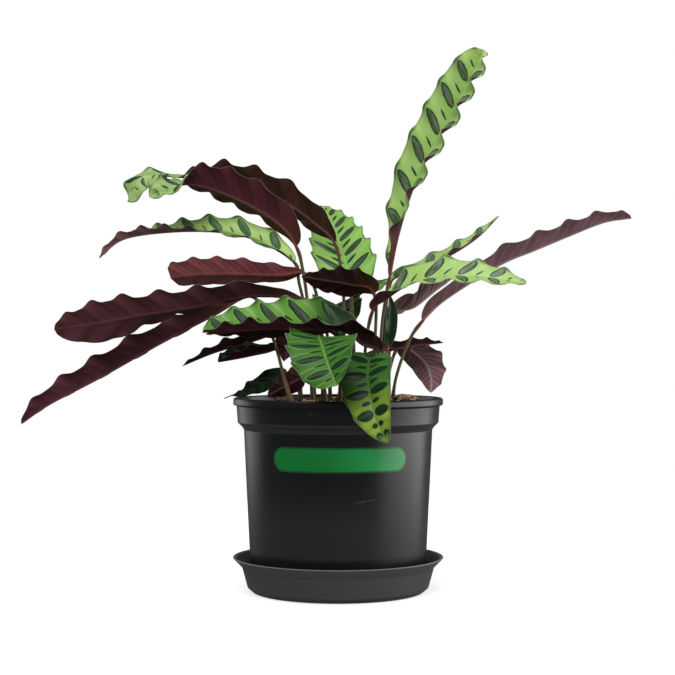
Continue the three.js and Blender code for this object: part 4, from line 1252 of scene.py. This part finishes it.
# What differs from that skin in each look, with the leaves that it suits
leafChanges = {
    "plain": {},
    # broad_left: painted shade towards the crown
    "deep": {"baseShade": 1.0, "maroon": (0.2, 0.065, 0.078), "maroonDark": (0.075, 0.023, 0.029)},
    # the folded leaf across the front, with painted shade near its base
    "front": {
        "limeDeep": (0.07, 0.23, 0.024), "limeLight": (0.2, 0.42, 0.06), "glintStrength": 0.9,
        "baseShade": 1.0, "largeOval": 0.2,
    },
    # the one that stands up behind the crown
    "upright": {
        "limeDeep": (0.16, 0.4, 0.055), "limeLight": (0.36, 0.6, 0.13), "glintStrength": 0.6,
        "largeOval": 0.2, "smallOval": 0.1,
    },
    # light green, with large ovals that carry a strong painted glint
    "young": {
        "limeDeep": (0.34, 0.56, 0.12), "limeLight": (0.56, 0.76, 0.3),
        "midribPale": (0.42, 0.6, 0.22), "spotGreen": (0.012, 0.05, 0.016),
        "spotEdge": (0.05, 0.16, 0.045), "glintGrey": (0.27, 0.3, 0.22), "glintStrength": 1.0,
        "largeOval": 0.19, "smallOval": 0.055,
    },
    # the thin pale ones at either side
    "slim": {
        "limeDeep": (0.34, 0.56, 0.12), "limeLight": (0.56, 0.76, 0.28),
        "midribPale": (0.42, 0.6, 0.22), "spotGreen": (0.025, 0.1, 0.03),
        "spotEdge": (0.08, 0.24, 0.07), "glintGrey": (0.27, 0.3, 0.22), "glintStrength": 0.5,
        "largeOval": 0.2, "smallOval": 0.055, "maroon": (0.36, 0.18, 0.19),
        "maroonDark": (0.2, 0.09, 0.1), "maroonVein": (0.46, 0.34, 0.34),
    },
    # the two that arch over, wine red and brown beneath
    "pale": {
        "limeDeep": (0.24, 0.4, 0.09), "limeLight": (0.42, 0.56, 0.24), "glintStrength": 0.5,
        "maroon": (0.12, 0.025, 0.036),
    },
    "umber": {
        "limeDeep": (0.24, 0.4, 0.09), "limeLight": (0.42, 0.56, 0.24), "glintStrength": 0.5,
        "largeOval": 0.12, "smallOval": 0.05, "maroon": (0.08, 0.027, 0.024),
        "maroonDark": (0.03, 0.012, 0.01), "rust": (0.032, 0.017, 0.009),
    },
    # full-grown and dull, and partly darkened by painted shade from the leaves above; the same turning
    # yellow at the tip
    "oldShaded": {
        "limeDeep": (0.03, 0.13, 0.013), "limeLight": (0.085, 0.23, 0.026),
        "midribPale": (0.2, 0.4, 0.1), "glintStrength": 0.1, "largeOval": 0.2, "gloss": 0.3,
        "maroon": (0.06, 0.014, 0.018), "maroonDark": (0.02, 0.006, 0.007),
    },
    "ripe": {
        "limeDeep": (0.03, 0.12, 0.018), "limeLight": (0.09, 0.25, 0.04),
        "midribPale": (0.1, 0.22, 0.05), "glintStrength": 0.0, "ripe": 1.0, "gloss": 0.3,
        "largeOval": 0.23, "smallOval": 0.11,
    },
    # low leaves inside the crown, darkened with painted shade, and the darkest ones by the rim with
    # deeper painted shade
    "shaded": {
        "limeDeep": (0.006, 0.024, 0.007), "limeLight": (0.018, 0.06, 0.016), "glintStrength": 0.1,
        "midribPale": (0.035, 0.075, 0.03), "edgePale": (0.12, 0.15, 0.1),
        "maroon": (0.06, 0.016, 0.018), "maroonDark": (0.022, 0.008, 0.008),
    },
    "deepestShade": {
        "limeDeep": (0.004, 0.009, 0.004), "limeLight": (0.008, 0.02, 0.008), "glintStrength": 0.0,
        "midribPale": (0.02, 0.035, 0.018), "edgePale": (0.07, 0.08, 0.06),
        "marginGreen": (0.004, 0.01, 0.005), "gloss": 0.4, "maroon": (0.06, 0.016, 0.018),
        "maroonDark": (0.022, 0.008, 0.008),
    },
    # bright red beneath; grey red beneath with painted sheen, and pale purple beneath with painted
    # light
    "wine": {"maroon": (0.6, 0.16, 0.19), "maroonDark": (0.24, 0.06, 0.07), "rust": (0.3, 0.08, 0.05)},
    "mauveSheen": {
        "limeDeep": (0.12, 0.3, 0.04), "maroon": (0.26, 0.135, 0.15),
        "maroonDark": (0.11, 0.055, 0.062), "maroonVein": (0.46, 0.34, 0.34),
        "rust": (0.2, 0.09, 0.07), "veinShow": 0.18,
    },
    "lilacLit": {
        "limeDeep": (0.12, 0.3, 0.04), "maroon": (0.42, 0.22, 0.245),
        "maroonDark": (0.2, 0.1, 0.115), "maroonVein": (0.75, 0.6, 0.6), "rust": (0.3, 0.16, 0.14),
        "veinShow": 0.35,
    },
}

# The pattern that all skins share. Each pair is where a thing ends and where it is full: along the
# blade in shares, from midrib or margin in millimetres, across a vein in turns, and inside an oval
# in the depth that ovalDepth gives.
leafPattern = {
    "cloudScale": 45,                # scales of the noises, in turns a metre
    "fineScale": 700,
    "raggedScale": 260,
    "streakScale": 22,               # and of the streaks, in turns a wave
    "pleatTurn": 18.85,              # three pleats a wave, in radians
    "largeSpan": (0.05, 0.88),       # shares of the half width that the large ovals run between
    "smallSpan": (0.05, 0.44),
    "ragged": 0.05,
    "ovalEdge": (-0.008, 0.028),
    "halo": (-0.1, -0.01),
    "paintedGlint": (0.035, 0.1),
    "tipPlain": (0.985, 0.93),       # no ovals at the very tip
    "broad": (2.0, 9.0),             # veins and streaks fade where the blade is narrow
    "veinsPerWave": 3,
    "veinHalf": (0.12, 0.02),
    "margin": (2.8, 0.6),
    "marginVein": (0.34, 0.08),
    "paleMidrib": (0.8, 0.35),
    "paleEdge": (0.38, 0.16),
    "ripeTip": (0.5, 0.85),
    "ripeGreen": (0.3, 0.42, 0.045),
    "baseShadeAbove": (0.52, 0.3),
    "baseShadeGreen": (0.012, 0.035, 0.01),
    "baseShadeBelow": (0.62, 0.3),
    "baseShadeMaroon": (0.009, 0.005, 0.005),
    "darkCrest": (0.3, 0.05),
    "rustBase": (0.3, 0.02),
    "midribBelow": (1.4, 0.5),
    "edgeBelow": (0.5, 0.2),
    "edgeBrown": (0.16, 0.12, 0.07),
}


# How far inside an oval that lies along a vein: its half width in turns follows the leaf outline's
# formula over the span, in shares of the half width
def ovalDepth(away, a, span, halfTurns):
    inner, outer = span
    share = ((a - inner) / (outer - inner)).most(0.0).least(1.0)
    outline = (share ** 0.4) * ((1 - share) ** 0.55) * 1.9
    return outline * halfTurns - abs(away)


# A leaf's skin: the upper side is lime with a dark oval along every side vein, large and small in
# turn, and the underside is maroon. The wave phase counts the waves along the blade: a large oval
# lies at each whole number of it and a small one half way between.
def leafFinish(name, changes):
    look = {**leafSkin, **changes}
    finish = Finish(name, specular=0.1 + 0.12 * look["gloss"], coatRoughness=0.28)
    phase = finish.attribute("veinPhase")
    a = abs(finish.attribute("across"))
    along = finish.attribute("along")
    fromMidrib = finish.attribute("fromMidrib")
    fromMargin = finish.attribute("fromMargin")
    top = finish.attribute("topSide").step(0.45, 0.55)
    broad = (fromMidrib + fromMargin).step(*leafPattern["broad"])
    cloud = finish.place.noise(leafPattern["cloudScale"], 3.0)
    fine = finish.place.noise(leafPattern["fineScale"], 2.0)
    veinSpace = (phase * leafPattern["streakScale"]).vector(a * 2, along * 2)
    streak = 0.5 + (veinSpace.noise(1.0, 2.0, 0.6) - 0.5) * broad
    ragged = leafPattern["ragged"] * (finish.place.noise(leafPattern["raggedScale"], 2.0) - 0.5)

    crest = (phase + 0.5).fraction() - 0.5
    trough = phase.fraction() - 0.5
    largeDepth = ovalDepth(crest + ragged, a, leafPattern["largeSpan"], look["largeOval"])
    smallDepth = ovalDepth(trough + ragged, a, leafPattern["smallSpan"], look["smallOval"])
    large = largeDepth.step(*leafPattern["ovalEdge"])
    small = smallDepth.step(*leafPattern["ovalEdge"])
    spots = large.most(small) * along.step(*leafPattern["tipPlain"])
    halo = largeDepth.most(smallDepth).step(*leafPattern["halo"]) * (1 - spots)
    # fine side veins, faint between the ovals
    line = (phase * leafPattern["veinsPerWave"]).fraction() - 0.5
    veins = abs(line).step(*leafPattern["veinHalf"]) * broad

    lightness = 0.3 + 1.1 * (cloud - 0.45) + 0.3 * (streak - 0.5)
    lime = finish.blend(lightness, look["limeDeep"], look["limeLight"])
    ripe = along.step(*leafPattern["ripeTip"]) * look["ripe"]
    lime = finish.blend(ripe, lime, leafPattern["ripeGreen"])
    lime = finish.blend(halo * 0.3 + veins * 0.12, lime, look["midribPale"])
    byVein = 0.35 + 0.65 * abs(crest).step(*leafPattern["marginVein"])
    margin = fromMargin.step(*leafPattern["margin"]) * byVein
    lime = finish.blend(margin * 0.85, lime, look["marginGreen"])
    # painted shade on the upper side near the base
    baseShadeAbove = along.step(*leafPattern["baseShadeAbove"]) * look["baseShade"]
    lime = finish.blend(baseShadeAbove, lime, leafPattern["baseShadeGreen"])
    spot = finish.blend(0.35 * streak, look["spotGreen"], look["spotEdge"])
    # painted glint: grey streaks along the middles of the large ovals
    paintedGlint = largeDepth.step(*leafPattern["paintedGlint"]) * streak.step(0.3, 0.62) * look["glintStrength"]
    spot = finish.blend(paintedGlint * 0.75, spot, look["glintGrey"])
    upper = finish.blend(spots, lime, spot)
    upper = finish.blend(fromMidrib.step(*leafPattern["paleMidrib"]) * 0.8, upper, look["midribPale"])
    upper = finish.blend(fromMargin.step(*leafPattern["paleEdge"]) * 0.8, upper, look["edgePale"])

    pleats = 0.5 + 0.5 * (phase * leafPattern["pleatTurn"]).sine()
    depth = 0.5 + 0.1 * (pleats - 0.5) * broad + 1.3 * (cloud - 0.5) + 0.35 * (streak - 0.5)
    lower = finish.blend(depth, look["maroonDark"], look["maroon"])
    # painted shade along the wave crests beneath
    darkCrest = abs(crest).step(*leafPattern["darkCrest"])
    lower = finish.blend(darkCrest * 0.3, lower, look["maroonDark"])
    lower = finish.blend(along.step(*leafPattern["rustBase"]) * 0.6, lower, look["rust"])
    # the side veins, and paler streaks along them that are a painted sheen
    veinsAndSheen = veins * look["veinShow"] + streak.step(0.6, 0.85) * 0.25
    lower = finish.blend(veinsAndSheen, lower, look["maroonVein"])
    midribBelow = fromMidrib.step(*leafPattern["midribBelow"])
    lower = finish.blend(midribBelow * 0.55, lower, look["maroonVein"])
    # painted shade on the underside near the base
    baseShadeBelow = along.step(*leafPattern["baseShadeBelow"]) * 0.7 * look["baseShade"]
    lower = finish.blend(baseShadeBelow, lower, leafPattern["baseShadeMaroon"])
    edgeBelow = fromMargin.step(*leafPattern["edgeBelow"])
    lower = finish.blend(edgeBelow * 0.5, lower, leafPattern["edgeBrown"])

    finish.set("Base Color", finish.blend(top, lower, upper))
    finish.set("Roughness", 0.6 - 0.18 * top - 0.08 * spots * top + 0.1 * (fine - 0.5))
    finish.set("Coat Weight", 0.15 * look["gloss"] * top)
    finish.bump(streak * 0.7 + fine * 0.3, 0.25, 0.25 * mm)
    return finish.material


# The stalks are brown at the foot, olive above and red just under the blade, with darker streaks
def stalkFinish():
    finish = Finish("stalkSkin", roughness=0.5, specular=0.45)
    upwards = finish.attribute("upwards")
    toHead = finish.attribute("toHead")
    drawnOut = finish.place.node("ShaderNodeMapping", None, {0: finish.place, 3: (1.0, 1.0, 0.08)})
    streak = drawnOut.noise(900, 2.0)
    colour = finish.blend(upwards.step(0.1, 0.7), stalk["footBrown"], stalk["olive"])
    colour = finish.blend(streak.step(0.4, 0.75) * 0.5, colour, stalk["streakBrown"])
    colour = finish.blend(toHead.step(14.0, 2.0), colour, stalk["headRed"])
    finish.set("Base Color", colour)
    finish.bump(streak, 0.3, 0.3 * mm)
    return finish.material


leafLooks = {key: leafFinish("leafSkin_" + key, changes) for key, changes in leafChanges.items()}
stalkSkin = stalkFinish()

for leafName, leafFacts in leaves.items():
    bladeMade = bladePiece(leafName, leafFacts)
    bladeMade.data.materials.append(leafLooks[leafFacts.get("look", "plain")])
    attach(bladeMade, "root")
    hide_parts("blade_" + leafName)
    stalkMade = stalkPiece(leafName, leafFacts)
    stalkMade.data.materials.append(stalkSkin)
    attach(stalkMade, "root")
    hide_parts("stalk_" + leafName)
print(len(leaves), "leaves are made")
